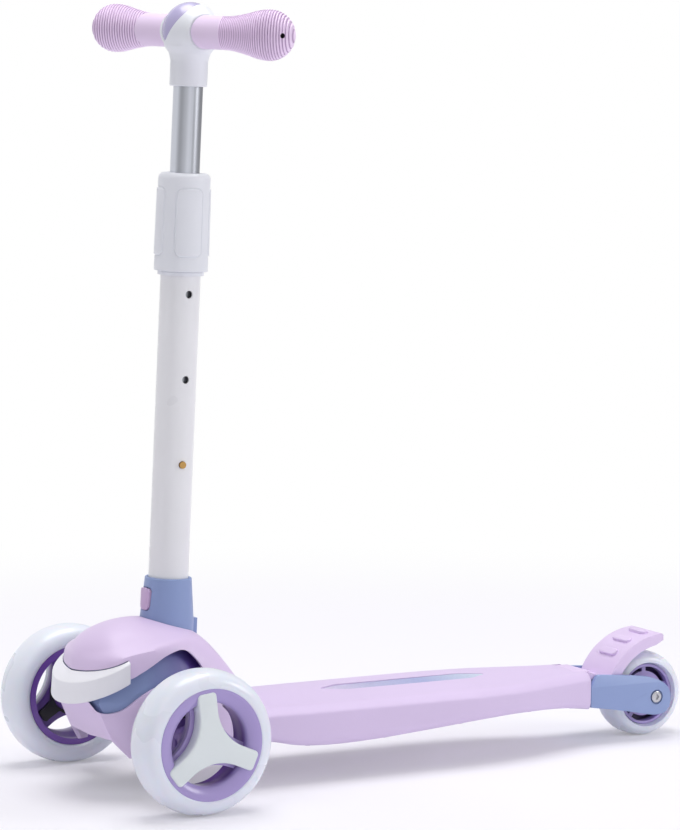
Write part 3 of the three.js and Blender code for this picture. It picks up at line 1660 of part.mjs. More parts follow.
// The brake's outer radius at an angle
function brakeRadiusAt(degrees) {
  const share = THREE.MathUtils.clamp((brakeLowDegrees - degrees) / (brakeLowDegrees - brakeHighDegrees), 0, 1);
  return brakeRadius + brakeSwell * share ** brakeSwellPower;
}

// Points along the brake's arc, at a depth below its outer face
function brakeArc(depth, from = brakeLowDegrees, to = brakeHighDegrees) {
  const points = [];
  for (let k = 0; k <= brakeArcSteps; k++) {
    const degrees = THREE.MathUtils.lerp(from, to, k / brakeArcSteps);
    points.push(brakePoint(brakeRadiusAt(degrees) - depth, degrees));
  }
  return points;
}

function brakeFender() {
  const tongueTop = deckTopZ - deckTopFall;
  const outerArc = brakeArc(0);
  const tip = outerArc.at(-1);
  const tailTop = [tip[0] + brakeTailLength, tip[1] + brakeTailRise];
  const flange = brakeArc(
    brakeFlangeDepth,
    brakeHighDegrees + brakeFlangeTuckDegrees,
    brakeLowDegrees - brakeFlangeTuckDegrees,
  );
  const outer = prism(
    "x",
    [
      ...outerArc,
      tailTop,
      [tailTop[0] + wall / 2, tailTop[1] - wall / 2],
      [tailTop[0] + wall / 2, tailTop[1] - 2 * wall],
      ...flange,
      [forkFrontY + runningGap, brakePinZ - brakeHingeRadius / 2 + wall],
      [forkFrontY + runningGap, tongueTop],
    ],
    -brakeHalfWidth,
    brakeHalfWidth,
  );
  const innerArc = brakeArc(brakeWall);
  const innerTip = innerArc.at(-1);
  const inner = prism(
    "x",
    [
      ...innerArc,
      [innerTip[0] + brakeTailLength + 2 * wall, innerTip[1] + brakeTailRise],
      [innerTip[0] + brakeTailLength + 2 * wall, 0],
      [innerArc[0][0], 0],
    ],
    -brakeHalfWidth + brakeWall,
    brakeHalfWidth - brakeWall,
  );
  const tongue = prism(
    "x",
    [
      [brakePinY, brakePinZ - brakeHingeRadius],
      [forkFrontY + 2 * wall, brakePinZ - wall / 2],
      [forkFrontY + 2 * wall, tongueTop],
      [brakePinY - wall, tongueTop],
      [brakePinY - brakeHingeRadius, brakePinZ],
    ],
    -brakeHingeHalfWidth,
    brakeHingeHalfWidth,
  );
  const pads = [];
  for (let k = 0; k < brakePads; k++) {
    const turn = THREE.MathUtils.lerp(brakePadFirstDegrees, brakePadLastDegrees, k / (brakePads - 1));
    const outline = rounded(
      rectangle(-brakePadWidth / 2, -brakePadDepth / 2, brakePadWidth / 2, brakePadDepth / 2),
      brakePadCorner,
      3,
    );
    const shape = new THREE.Shape(outline.map(([a, b]) => new THREE.Vector2(a, b)));
    const pad = new THREE.ExtrudeGeometry(shape, { depth: brakePadHeight + wall / 2, bevelEnabled: false })
      .translate(0, 0, brakeRadiusAt(turn) - wall / 2)
      .rotateX((turn - 90) * degree)
      .translate(0, wheelbase, rearAxleZ);
    pads.push(solid(pad));
  }
  const springWay = springRadius + springWire + runningGap;
  return cut(
    join(cut(outer, inner), tongue, ...pads),
    rod("x", brakePinRadius + clearance, -2 * brakeHalfWidth, 2 * brakeHalfWidth, [brakePinY, brakePinZ]),
    block(
      [-springWay * 2, brakePinY - 2 * brakeHingeRadius, brakePinZ - 2 * brakeHingeRadius],
      [springWay * 2, brakePinY + brakeHingeRadius + springWay, brakePinZ + springWay],
    ),
  );
}

// A coil of round wire about the brake's pin, with a leg at each end
function brakeSpring() {
  const points = [];
  const steps = 7 * springTurns;
  const pitch = 2 * springWire + 2 * clearance;
  const length = springTurns * pitch;
  points.push(new THREE.Vector3(-length / 2, springLegLength, springRadius));
  for (let k = 0; k <= steps; k++) {
    const turn = (k / steps) * springTurns * 2 * Math.PI;
    points.push(
      new THREE.Vector3(
        -length / 2 + (length * k) / steps,
        springRadius * -Math.sin(turn),
        springRadius * Math.cos(turn),
      ),
    );
  }
  points.push(new THREE.Vector3(length / 2, springLegLength, springRadius));
  const wire = [];
  for (let k = 0; k < 5; k++) {
    const turn = (k / 5) * 2 * Math.PI;
    wire.push(new THREE.Vector2(springWire * Math.cos(turn), springWire * Math.sin(turn)));
  }
  const path = new THREE.CatmullRomCurve3(points, false, "centripetal");
  return solid(
    new THREE.ExtrudeGeometry(new THREE.Shape(wire), {
      steps,
      extrudePath: path,
      bevelEnabled: false,
    }),
  );
}

// The scooter

const scooter = new THREE.Group();
const frame = new THREE.Group();
frame.position.set(0, -middleY, 0);
scooter.add(frame);

const crease = 35 * degree;

function place(parent, name, body, material, position = [0, 0, 0], mirror = false) {
  const mesh = new THREE.Mesh(toCreasedNormals(meshGeometry(body, mirror), crease), material);
  mesh.name = name;
  mesh.position.set(...position);
  parent.add(mesh);
  return mesh;
}

place(frame, "deck", deck(), lilac);
place(frame, "deck_inlay", deckInlay(), inlay);
place(frame, "truck_body", truckBody(), blue);
place(frame, "axle_beam", axleBeam(), black);
place(frame, "lean_pivot_bolt", pivotBolt(), steel, [0, 0, leanPivotZ]);
place(frame, "rear_fork", rearFork(), blue);
place(frame, "rear_axle_bolt", rearBolt(), steel, [0, wheelbase, rearAxleZ]);
place(frame, "rear_axle_nut", rearNut(), steel, [0, wheelbase, rearAxleZ]);
place(frame, "brake_pin", rod("x", brakePinRadius, -brakePinHalf, brakePinHalf), steel, [0, brakePinY, brakePinZ]);
place(frame, "brake_spring", brakeSpring(), steel, [0, brakePinY, brakePinZ]);
place(frame, "brake_fender", brakeFender(), lilac);
place(frame, "tie_rod", tieRod(), steel, [0, steerArmY, frontAxleZ]);
place(frame, "lean_cushion_left", leanCushion(), black);
place(frame, "lean_cushion_right", leanCushion(), black, [0, 0, 0], true);
place(frame, "stem_yoke", yoke(), black);
place(frame, "top_cover", topCover(), lilac);
place(frame, "front_bumper", bumper(), white);

for (const [side, sign] of [["left", 1], ["right", -1]]) {
  const mirror = sign < 0;
  const steered = new THREE.Group();
  steered.position.set(sign * kingpinX, 0, frontAxleZ);
  frame.add(steered);
  place(steered, "kingpin_" + side, kingpin(), steel);
  place(steered, "knuckle_" + side, knuckle(), black, [0, 0, 0], mirror);
  const wheel = new THREE.Group();
  wheel.position.set(sign * (wheelX - kingpinX), 0, 0);
  steered.add(wheel);
  place(wheel, "axle_bolt_" + side, axleBolt(), steel, [0, 0, 0], mirror);
  place(
    wheel,
    "tyre_" + side,
    tyre(frontWheelRadius, frontTyreWidth, frontTyreSeat, frontTyreSide, frontBeadHalfWidth),
    tyreWhite,
    [0, 0, 0],
    mirror,
  );
  place(wheel, "hub_" + side, frontHub(), purple, [0, 0, 0], mirror);
  place(wheel, "hub_cap_" + side, hubCap(), capGrey, [0, 0, 0], mirror);
  place(wheel, "hub_lamp_" + side, hubLamp(), black, [0, 0, 0], mirror);
  const inner = [sign * -hubBossBack, 0, 0];
  const outer = [sign * (hubSpokeFront - bearingWidth), 0, 0];
  place(wheel, "inner_bearing_" + side, bearing(), steel, inner, mirror);
  place(wheel, "outer_bearing_" + side, bearing(), steel, outer, mirror);
}

const rearWheel = new THREE.Group();
rearWheel.position.set(0, wheelbase, rearAxleZ);
frame.add(rearWheel);
place(
  rearWheel,
  "rear_tyre",
  tyre(rearWheelRadius, rearTyreWidth, rearTyreSeat, rearTyreSide, rearBeadHalfWidth),
  tyreWhite,
);
place(rearWheel, "rear_hub", rearHub(), purple);
place(rearWheel, "rear_bearing_left", bearing(), steel, [rearBossHalfWidth - bearingWidth, 0, 0]);
place(rearWheel, "rear_bearing_right", bearing(), steel, [-rearBossHalfWidth, 0, 0]);

// What stands on the column's axis, leaning back with it
const column = new THREE.Group();
column.position.set(0, columnFootY, 0);
column.rotation.x = -columnLean;
frame.add(column);
place(column, "stem_socket", socket(), blue);
place(column, "release_button", releaseButton(), lilac);
place(column, "latch_spring", latchSpring(), steel);
place(column, "outer_tube", outerTube(), white);
place(column, "tube_bush", tubeBush(), white);
place(column, "clamp_collar", clampCollar(), white);
place(column, "inner_tube", innerTube(), aluminium);
place(column, "tube_plug", tubePlug(), black);
place(column, "snap_button", snapButton(), brass, [0, 0, lowestHole]);
place(column, "snap_spring", snapSpring(), steel, [0, 0, lowestHole]);

const handle = new THREE.Group();
handle.position.set(0, 0, handleHeight);
column.add(handle);
place(handle, "handle_head", handleHead(), white);
place(handle, "head_insert", headInsert(), purple);
place(handle, "cross_bar", crossBar(), steel);
place(handle, "grip_left", handGrip(), grip);
place(handle, "grip_right", handGrip(), grip, [0, 0, 0], true);

export default scooter;
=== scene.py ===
# Three wheel kids scooter: the looks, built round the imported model.
import json
import math

import bmesh
import bpy
from mathutils import Matrix, Vector


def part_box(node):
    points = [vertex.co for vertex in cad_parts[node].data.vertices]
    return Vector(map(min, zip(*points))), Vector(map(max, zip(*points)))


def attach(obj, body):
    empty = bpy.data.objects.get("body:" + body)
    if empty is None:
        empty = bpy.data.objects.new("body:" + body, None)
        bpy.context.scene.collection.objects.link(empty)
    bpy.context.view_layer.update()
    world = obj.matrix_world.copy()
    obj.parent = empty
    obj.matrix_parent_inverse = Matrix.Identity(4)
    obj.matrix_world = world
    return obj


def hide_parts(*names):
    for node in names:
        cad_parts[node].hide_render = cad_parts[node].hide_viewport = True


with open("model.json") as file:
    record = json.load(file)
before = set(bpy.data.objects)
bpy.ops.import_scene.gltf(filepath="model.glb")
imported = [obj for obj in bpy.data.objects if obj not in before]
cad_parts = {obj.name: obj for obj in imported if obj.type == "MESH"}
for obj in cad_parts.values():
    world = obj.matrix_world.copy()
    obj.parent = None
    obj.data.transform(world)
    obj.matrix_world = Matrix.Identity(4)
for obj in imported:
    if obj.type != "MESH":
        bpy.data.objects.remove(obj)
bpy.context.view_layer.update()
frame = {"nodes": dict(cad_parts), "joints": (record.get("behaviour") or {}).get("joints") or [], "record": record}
nodes = frame["nodes"]


# Places read off the frame. Lengths below are millimetres from the ground under the front axle.

def middleOf(node):
    low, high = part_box(node)
    return (low + high) / 2


perMetre = 1000
frontAxleY = middleOf("tyre_left").y
wheelX = middleOf("tyre_left").x * perMetre
frontAxleZ = middleOf("tyre_left").z * perMetre
rearAxleY = (middleOf("rear_tyre").y - frontAxleY) * perMetre
rearAxleZ = middleOf("rear_tyre").z * perMetre
jointByName = {joint["name"]: joint for joint in frame["joints"]}
columnAxis = Vector(jointByName["column_release"]["axis"]).normalized()
columnLean = math.atan2(columnAxis.y, columnAxis.z)
columnFootY = 25.8  # where the column's axis would meet the ground
handleHeight = 627  # of the bar, along the column
gap = 0.3  # between neighbouring pieces
thin = 0.01  # radius at which a turned solid closes on its axis
overrun = 2  # how far a cut reaches past the face it starts from


def inMetres(point):
    x, y, z = point
    return Vector((x / perMetre, y / perMetre + frontAxleY, z / perMetre))


def upColumn(point):
    x, y, z = point
    cosLean, sinLean = math.cos(columnLean), math.sin(columnLean)
    return (x, columnFootY + y * cosLean + z * sinLean, z * cosLean - y * sinLean)


# Shapes are (points, faces), turned into pieces further down

def moved(shape, offset):
    points, faces = shape
    return [tuple(a + b for a, b in zip(p, offset)) for p in points], faces


def mapped(shape, change):
    points, faces = shape
    return [change(p) for p in points], faces


def mirrored(shape):
    points, faces = shape
    return [(-x, y, z) for x, y, z in points], [face[::-1] for face in faces]


def onAxis(axis, place, a, b):
    if axis == "x":
        return (place, a, b)
    if axis == "y":
        return (a, place, b)
    return (a, b, place)


def revolved(profile, axis="z", steps=96, closed=True):
    # Turns (place, radius) points round an axis.
    points, faces = [], []
    for place, radius in profile:
        for k in range(steps):
            turn = 2 * math.pi * k / steps
            points.append(onAxis(axis, place, radius * math.cos(turn), radius * math.sin(turn)))
    rows = len(profile)
    for i in range(rows if closed else rows - 1):
        for k in range(steps):
            a, b = i * steps + k, i * steps + (k + 1) % steps
            c, d = (a + steps) % len(points), (b + steps) % len(points)
            faces.append((a, b, d, c))
    return points, faces


def lofted(rings, capped=True):
    count = len(rings[0])
    points = [p for ring in rings for p in ring]
    faces = []
    for i in range(len(rings) - 1):
        for j in range(count):
            a, b = i * count + j, i * count + (j + 1) % count
            faces.append((a, b, b + count, a + count))
    if capped:
        faces.append(tuple(range(count))[::-1])
        faces.append(tuple(range(len(points) - count, len(points))))
    return points, faces


def prism(outline, axis, start, end):
    rings = [[onAxis(axis, place, a, b) for a, b in outline] for place in (start, end)]
    return lofted(rings)


def block(low, high):
    return prism(rectangle(low[0], low[1], high[0], high[1]), "z", low[2], high[2])


def rod(axis, radius, start, end, centre=(0, 0), steps=32):
    turns = [2 * math.pi * k / steps for k in range(steps)]
    outline = [(centre[0] + radius * math.cos(turn), centre[1] + radius * math.sin(turn)) for turn in turns]
    return prism(outline, axis, start, end)


def roundedOutline(corners, radius, steps=8):
    # Corners may carry a radius of their own as a third value.
    out = []
    count = len(corners)
    for i, corner in enumerate(corners):
        own = corner[2] if len(corner) > 2 else radius
        point = Vector(corner[:2])
        before = Vector(corners[i - 1][:2]) - point
        after = Vector(corners[(i + 1) % count][:2]) - point
        angle = before.angle(after)
        if own <= 0 or math.pi - angle < 0.01:  # sharp, or nearly straight
            out.append(tuple(point))
            continue
        before, after = before.normalized(), after.normalized()
        reach = own / math.tan(angle / 2)
        start = point + before * reach
        end = point + after * reach
        centre = point + (before + after).normalized() * (own / math.sin(angle / 2))
        first = math.atan2(start.y - centre.y, start.x - centre.x)
        sweep = math.atan2(end.y - centre.y, end.x - centre.x) - first
        sweep = (sweep + math.pi) % (2 * math.pi) - math.pi
        for k in range(steps + 1):
            turn = first + sweep * k / steps
            out.append((centre.x + own * math.cos(turn), centre.y + own * math.sin(turn)))
    return out


def rectangle(lowA, lowB, highA, highB):
    return [(lowA, lowB), (highA, lowB), (highA, highB), (lowA, highB)]


def eased(rows, place, column=1):
    # Reads a table of [place, values...] rows with a smooth curve between them.
    last = len(rows) - 1
    i = 0
    while i < last - 1 and rows[i + 1][0] <= place:
        i += 1
    p0, p1 = rows[i], rows[i + 1]
    t = min(max((place - p0[0]) / (p1[0] - p0[0]), 0), 1)

    def slope(k):
        a, b = rows[max(k - 1, 0)], rows[min(k + 1, last)]
        return (b[column] - a[column]) / (b[0] - a[0])

    span = p1[0] - p0[0]
    return (
        (2 * t**3 - 3 * t**2 + 1) * p0[column]
        + (t**3 - 2 * t**2 + t) * span * slope(i)
        + (3 * t**2 - 2 * t**3) * p1[column]
        + (t**3 - t**2) * span * slope(i + 1)
    )


def splineThrough(points, count):
    # Centripetal curve through points, spread evenly between them.
    out = []
    for i in range(len(points) - 1):
        p0 = Vector(points[max(i - 1, 0)])
        p1, p2 = Vector(points[i]), Vector(points[i + 1])
        p3 = Vector(points[min(i + 2, len(points) - 1)])
        for k in range(count):
            t = k / count
            out.append(tuple(
                0.5 * (2 * p1 + (p2 - p0) * t + (2 * p0 - 5 * p1 + 4 * p2 - p3) * t * t
                       + (3 * p1 - 3 * p2 + p3 - p0) * t**3)
            ))
    out.append(tuple(points[-1]))
    return out


# Pieces

def meshObject(name, shape):
    points, faces = shape
    mesh = bpy.data.meshes.new(name)
    mesh.from_pydata([inMetres(p) for p in points], [], faces)
    work = bmesh.new()
    work.from_mesh(mesh)
    bmesh.ops.remove_doubles(work, verts=work.verts, dist=1e-6)
    bmesh.ops.dissolve_degenerate(work, edges=work.edges, dist=1e-7)
    bmesh.ops.recalc_face_normals(work, faces=work.faces)
    work.to_mesh(mesh)
    work.free()
    piece = bpy.data.objects.new(name, mesh)
    bpy.context.scene.collection.objects.link(piece)
    return piece


def settled(piece):
    # Turns a piece's modifiers into its mesh.
    bpy.context.view_layer.update()
    shown = piece.evaluated_get(bpy.context.evaluated_depsgraph_get())
    mesh = bpy.data.meshes.new_from_object(shown)
    piece.modifiers.clear()
    old = piece.data
    piece.data = mesh
    bpy.data.meshes.remove(old)
    mesh.name = piece.name
    return piece


def carved(piece, *shapes, operation="DIFFERENCE"):
    for k, shape in enumerate(shapes):
        tool = meshObject(piece.name + "_tool%d" % k, shape)
        cut = piece.modifiers.new("cut", "BOOLEAN")
        cut.operation = operation
        cut.solver = "EXACT"
        cut.object = tool
        settled(piece)
        bpy.data.objects.remove(tool)
    return piece


def bevelled(piece, width, steps=3, angle=32):
    edge = piece.modifiers.new("edge", "BEVEL")
    edge.width = width / perMetre
    edge.segments = steps
    edge.limit_method = "ANGLE"
    edge.angle_limit = math.radians(angle)
    edge.use_clamp_overlap = True
    return settled(piece)


def moulded(piece, voxel, smoothing):
    # Fuses crossing solids into one skin with softly rounded inner and outer corners.
    skin = piece.modifiers.new("skin", "REMESH")
    skin.mode = "VOXEL"
    skin.voxel_size = voxel / perMetre
    soft = piece.modifiers.new("soft", "SMOOTH")
    soft.factor = 0.5
    soft.iterations = smoothing
    return settled(piece)


def finished(piece, body, material, replaced=(), sharp=40):
    mesh = piece.data
    mesh.materials.clear()
    mesh.materials.append(material)
    mesh.polygons.foreach_set("use_smooth", [True] * len(mesh.polygons))
    mesh.polygons.foreach_set("material_index", [0] * len(mesh.polygons))
    mesh.set_sharp_from_angle(angle=math.radians(sharp))
    mesh.update()
    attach(piece, body)
    if replaced:
        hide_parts(*replaced)
    return piece


# Finishes

def feed(tree, socket, value):
    if isinstance(value, bpy.types.NodeSocket):
        tree.links.new(value, socket)
    else:
        socket.default_value = value


def added(tree, kind, inputs, **traits):
    # A shader node with its inputs given as values or as other nodes' outputs.
    made = tree.nodes.new("ShaderNode" + kind)
    for trait, value in traits.items():
        setattr(made, trait, value)
    for key, value in inputs.items():
        feed(tree, made.inputs[key], value)
    return made


def mathNode(tree, operation, *values):
    return added(tree, "Math", dict(enumerate(values)), operation=operation).outputs[0]


def mixed(tree, share, first, second, blend="MIX"):
    inputs = {0: share, 6: first, 7: second}
    return added(tree, "Mix", inputs, data_type="RGBA", blend_type=blend).outputs[2]


def ramped(tree, place, stops, interpolation="LINEAR"):
    ramp = added(tree, "ValToRGB", {0: place})
    ramp.color_ramp.interpolation = interpolation
    while len(ramp.color_ramp.elements) < len(stops):
        ramp.color_ramp.elements.new(0.5)
    for element, (position, tone) in zip(ramp.color_ramp.elements, stops):
        element.position = position
        element.color = tone
    return ramp.outputs[0]


def placeOn(tree):
    # A point's place on the piece, whole and split by axis.
    whole = added(tree, "TexCoord", {}).outputs["Object"]
    return whole, added(tree, "SeparateXYZ", {0: whole}).outputs


def shaderOf(material):
    return material.node_tree.nodes["Principled BSDF"]


grainLook = {
    "detail": 3, "strength": 0.6, "driftScale": 22, "driftDetail": 2, "roughnessDrift": 0.12,
    "coatRoughness": 0.1, "softScale": 0.004,
}


def makeMouldedSkin():
    # Fine moulded grain: a colour with a faint drift, a roughness and a normal.
    tree = bpy.data.node_groups.new("mouldedSkin", "ShaderNodeTree")
    for name, direction, kind in (
        ("Tone", "INPUT", "Color"), ("Drift", "INPUT", "Float"), ("Grain Size", "INPUT", "Float"),
        ("Grain Height", "INPUT", "Float"), ("Roughness", "INPUT", "Float"), ("Color", "OUTPUT", "Color"),
        ("Roughness", "OUTPUT", "Float"), ("Normal", "OUTPUT", "Vector"),
    ):
        tree.interface.new_socket(name=name, in_out=direction, socket_type="NodeSocket" + kind)
    entry = tree.nodes.new("NodeGroupInput").outputs
    leave = tree.nodes.new("NodeGroupOutput").inputs
    place = added(tree, "TexCoord", {}).outputs["Object"]
    grain = added(tree, "TexNoise", {
        "Vector": place, "Scale": entry["Grain Size"], "Detail": grainLook["detail"],
    })
    broad = added(tree, "TexNoise", {
        "Vector": place, "Scale": grainLook["driftScale"], "Detail": grainLook["driftDetail"],
    })
    swing = mathNode(tree, "SUBTRACT", broad.outputs[0], 0.5)
    value = mathNode(tree, "ADD", mathNode(tree, "MULTIPLY", swing, entry["Drift"]), 1.0)
    shade = added(tree, "HueSaturation", {"Color": entry["Tone"], "Value": value})
    tree.links.new(shade.outputs[0], leave["Color"])
    swing = mathNode(tree, "MULTIPLY", swing, grainLook["roughnessDrift"])
    tree.links.new(mathNode(tree, "ADD", entry["Roughness"], swing), leave["Roughness"])
    height = mathNode(tree, "MULTIPLY", grain.outputs[0], entry["Grain Height"])
    bump = added(tree, "Bump", {"Strength": grainLook["strength"], "Distance": 1, "Height": height})
    tree.links.new(bump.outputs[0], leave["Normal"])
    return tree


mouldedSkin = makeMouldedSkin()


def srgb(red, green, blue):
    def linear(value):
        value /= 255
        return value / 12.92 if value <= 0.04045 else ((value + 0.055) / 1.055) ** 2.4

    return (linear(red), linear(green), linear(blue), 1)


def plastic(
    name, tone, roughness, grain=1500, height=0.00002, drift=0.04, metallic=0, coat=0, sheen=0, soft=0,
):
    material = bpy.data.materials.new(name)
    material.use_nodes = True
    tree = material.node_tree
    skin = tree.nodes.new("ShaderNodeGroup")
    skin.node_tree = mouldedSkin
    for key, value in (
        ("Tone", tone), ("Drift", drift), ("Grain Size", grain), ("Grain Height", height),
        ("Roughness", roughness),
    ):
        skin.inputs[key].default_value = value
    for key, value in (
        ("Base Color", skin.outputs["Color"]), ("Roughness", skin.outputs["Roughness"]),
        ("Normal", skin.outputs["Normal"]), ("Metallic", metallic), ("Coat Weight", coat),
        ("Coat Roughness", grainLook["coatRoughness"]), ("Sheen Weight", sheen),
        ("Subsurface Weight", soft), ("Subsurface Scale", grainLook["softScale"]),
    ):
        feed(tree, shaderOf(material).inputs[key], value)
    return material


finishes = {
    "lilac": plastic("lilacPlastic", srgb(224, 204, 239), 0.42),
    "blue": plastic("bluePlastic", srgb(142, 160, 206), 0.42),
    "purple": plastic("purplePlastic", srgb(164, 146, 208), 0.32, coat=0.2),
    "white": plastic("whitePlastic", srgb(232, 234, 241), 0.38),
    "bumper": plastic("bumperPlastic", srgb(243, 243, 250), 0.4),
    "cap": plastic("capPlastic", srgb(224, 231, 233), 0.4),
    "tube": plastic("tubePaint", srgb(236, 236, 240), 0.3, grain=400, height=0.00001, coat=0.3),
    "tyre": plastic("wheelTyre", srgb(232, 236, 248), 0.28, soft=0.15, coat=0.15),
    "grip": plastic("gripRubber", srgb(222, 194, 234), 0.6, sheen=0.1, height=0.00004),
    "aluminium": plastic("satinAluminium", srgb(200, 203, 212), 0.38, metallic=0.9, grain=900),
    "steel": plastic("brightSteel", srgb(190, 190, 194), 0.25, metallic=1, grain=900),
    "black": plastic("blackPaint", srgb(34, 33, 38), 0.45),
    "rubber": plastic("blackRubber", srgb(30, 30, 32), 0.7),
    "brass": plastic("brass", srgb(190, 150, 90), 0.3, metallic=1),
    "button": plastic("buttonPlastic", srgb(206, 178, 216), 0.42),
    # Dark purple painted shade, worn by the knuckles behind the spokes.
    "shade": plastic("shadePlastic", srgb(112, 88, 152), 0.45),
    "lens": plastic("lensPlastic", srgb(180, 172, 212), 0.25, coat=0.3),
    "deck": plastic("deckPlastic", srgb(217, 199, 233), 0.5, grain=560, height=0.00013),
}

inlayLook = {
    "stops": [
        (0.0, srgb(208, 196, 226)), (0.3, srgb(178, 178, 214)), (0.62, srgb(160, 168, 212)),
        (1.0, srgb(202, 212, 230)),
    ],
    "mottleScale": 420, "mottleLow": 0.92, "mottleSwing": 0.16,
}


def makeInlayFinish(look):
    # Lilac grey in front, periwinkle in the middle, pale teal at the rear, under a mottled grip pattern.
    material = plastic("inlayFinish", srgb(184, 184, 213), 0.42, grain=700, height=0.00008)
    tree = material.node_tree
    place, split = placeOn(tree)
    low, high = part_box("deck_inlay")
    along = added(tree, "MapRange", {"Value": split["Y"], "From Min": low.y, "From Max": high.y})
    mottle = added(tree, "TexVoronoi", {"Vector": place, "Scale": look["mottleScale"]})
    value = mathNode(tree, "MULTIPLY", mottle.outputs["Distance"], look["mottleSwing"])
    shade = added(tree, "HueSaturation", {
        "Color": ramped(tree, along.outputs[0], look["stops"]),
        "Value": mathNode(tree, "ADD", value, look["mottleLow"]),
    })
    tree.links.new(shade.outputs[0], shaderOf(material).inputs["Base Color"])
    return material


def paintedShadeAlong(material, axis, centre, start, end, *tones):
    # Paints shade into a finish by its distance, in metres, from a plane across one axis, on both sides for X: the
    # first, darker tone before the band starts, the last tone after it ends.
    tree = material.node_tree
    place = placeOn(tree)[1][axis]
    if axis == "X":
        place = mathNode(tree, "ABSOLUTE", place)
    away = mathNode(tree, "SUBTRACT", place, centre)
    along = added(tree, "MapRange", {"Value": away, "From Min": start, "From Max": end})
    tone = ramped(tree, along.outputs[0], list(enumerate(tones)))
    tree.links.new(tone, shaderOf(material).inputs["Base Color"])
    return material


ribs = {  # millimetres, like the pieces
    "pitch": 3.3, "farPitch": 4.3, "turn": 1.15, "near": 57, "far": 74, "ventRadius": 2.1, "sharpness": 1.1,
    # The groove and vent tones are painted shade: darker in the grooves between the ribs, dark in the vent's hole.
    "tone": srgb(243, 221, 250), "grooveTone": srgb(140, 98, 152), "grooveShare": 0.9,
    "smoothTone": srgb(232, 211, 241), "ventTone": srgb(30, 20, 34),
}


def makeGripFinish(material, look):
    # Painted shade in the grooves between the ribs, another tone on the smooth part beside the head, painted shade
    # in the vent's hole.
    tree = material.node_tree
    split = placeOn(tree)[1]
    bar = upColumn((0, 0, handleHeight))
    across = mathNode(tree, "SUBTRACT", split["Y"], frontAxleY + bar[1] / perMetre)
    up = mathNode(tree, "SUBTRACT", split["Z"], bar[2] / perMetre)
    plane = mathNode(tree, "ADD", split["X"], mathNode(tree, "MULTIPLY", across, look["turn"]))
    onNearGrip = mathNode(tree, "GREATER_THAN", split["X"], 0)
    farRate, nearRate = (math.pi * perMetre / look[key] for key in ("farPitch", "pitch"))
    rate = mathNode(tree, "ADD", farRate, mathNode(tree, "MULTIPLY", onNearGrip, nearRate - farRate))
    wave = mathNode(tree, "ABSOLUTE", mathNode(tree, "SINE", mathNode(tree, "MULTIPLY", plane, rate)))
    grooveShadeMask = mathNode(tree, "POWER", mathNode(tree, "SUBTRACT", 1, wave), look["sharpness"])
    started = mathNode(
        tree, "MAXIMUM", mathNode(tree, "GREATER_THAN", plane, look["near"] / perMetre),
        mathNode(tree, "LESS_THAN", split["X"], -look["far"] / perMetre),
    )
    depth = mathNode(tree, "MULTIPLY", grooveShadeMask, mathNode(tree, "MULTIPLY", started, look["grooveShare"]))
    ribbedWithShade = mixed(tree, depth, look["tone"], look["grooveTone"])
    skin = mixed(tree, started, look["smoothTone"], ribbedWithShade)
    squares = (mathNode(tree, "MULTIPLY", value, value) for value in (across, up))
    off = mathNode(tree, "SQRT", mathNode(tree, "ADD", *squares))
    inVentShade = mathNode(tree, "LESS_THAN", off, look["ventRadius"] / perMetre)
    tree.links.new(mixed(tree, inVentShade, skin, look["ventTone"]), shaderOf(material).inputs["Base Color"])


# Painted reflections and shade on the inner tube, as bands of brightness round it.
paintedReflectionBands = [  # direction round the column in degrees, brightness
    (-180, 0.85), (-120, 1), (-75, 1), (-52, 0.64), (-34, 0.78), (-17, 1), (-8, 0.94), (2, 0.6), (14, 0.72),
    (34, 0.6), (90, 0.9), (180, 0.85),
]


def paintTubeReflections(material, reflectionBands):
    # Painted reflections and shade on the satin tube: lighter and darker bands by the direction a face looks in.
    tree = material.node_tree
    normal = added(tree, "NewGeometry", {}).outputs["Normal"]
    split = added(tree, "SeparateXYZ", {0: normal}).outputs
    turn = mathNode(tree, "ARCTAN2", split["Y"], split["X"])
    place = mathNode(tree, "ADD", mathNode(tree, "MULTIPLY", turn, 0.5 / math.pi), 0.5)
    stops = [(degrees / 360 + 0.5, (tone, tone, tone, 1)) for degrees, tone in reflectionBands]
    base = shaderOf(material).inputs["Base Color"]
    plain = base.links[0].from_socket
    tree.links.new(mixed(tree, 1, plain, ramped(tree, place, stops, "EASE"), "MULTIPLY"), base)


finishes["inlay"] = makeInlayFinish(inlayLook)
paintTubeReflections(finishes["aluminium"], paintedReflectionBands)
makeGripFinish(finishes["grip"], ribs)
# Painted shade on the wheels and the truck body: each finish turns darker towards one side of a band.
paintedShades = [  # finish, roughness, coat, axis, plane, start and end of the change in metres, tones
    # Painted shade: the front hub's rim darker towards the wheel's middle and on its inner side.
    ("hub", 0.3, 0.25, "X", wheelX / perMetre, 0.007, 0.0125, srgb(118, 80, 168), srgb(168, 152, 208)),
    # Painted shade: the spokes darker towards the wheel's middle and on their inner side.
    ("spokes", 0.3, 0.25, "X", wheelX / perMetre, 0.0035, 0.0076, srgb(104, 70, 152), srgb(178, 160, 214)),
    # Painted shade: the rear hub dark purple in its middle, in the windows between the spokes.
    ("rearHub", 0.3, 0.25, "X", 0, 0.004, 0.0085, srgb(52, 34, 84), srgb(172, 156, 212)),
    # Painted shade: the truck body going from blue in front to dark violet towards the rear, under the cover's
    # arch.
    ("truck", 0.42, 0, "Y", frontAxleY, -0.012, 0.034, srgb(142, 160, 206), srgb(86, 58, 146)),
]
for name, roughness, coat, *change in paintedShades:
    made = plastic(name + "Plastic", change[-1], roughness, coat=coat)
    finishes[name] = paintedShadeAlong(made, *change)

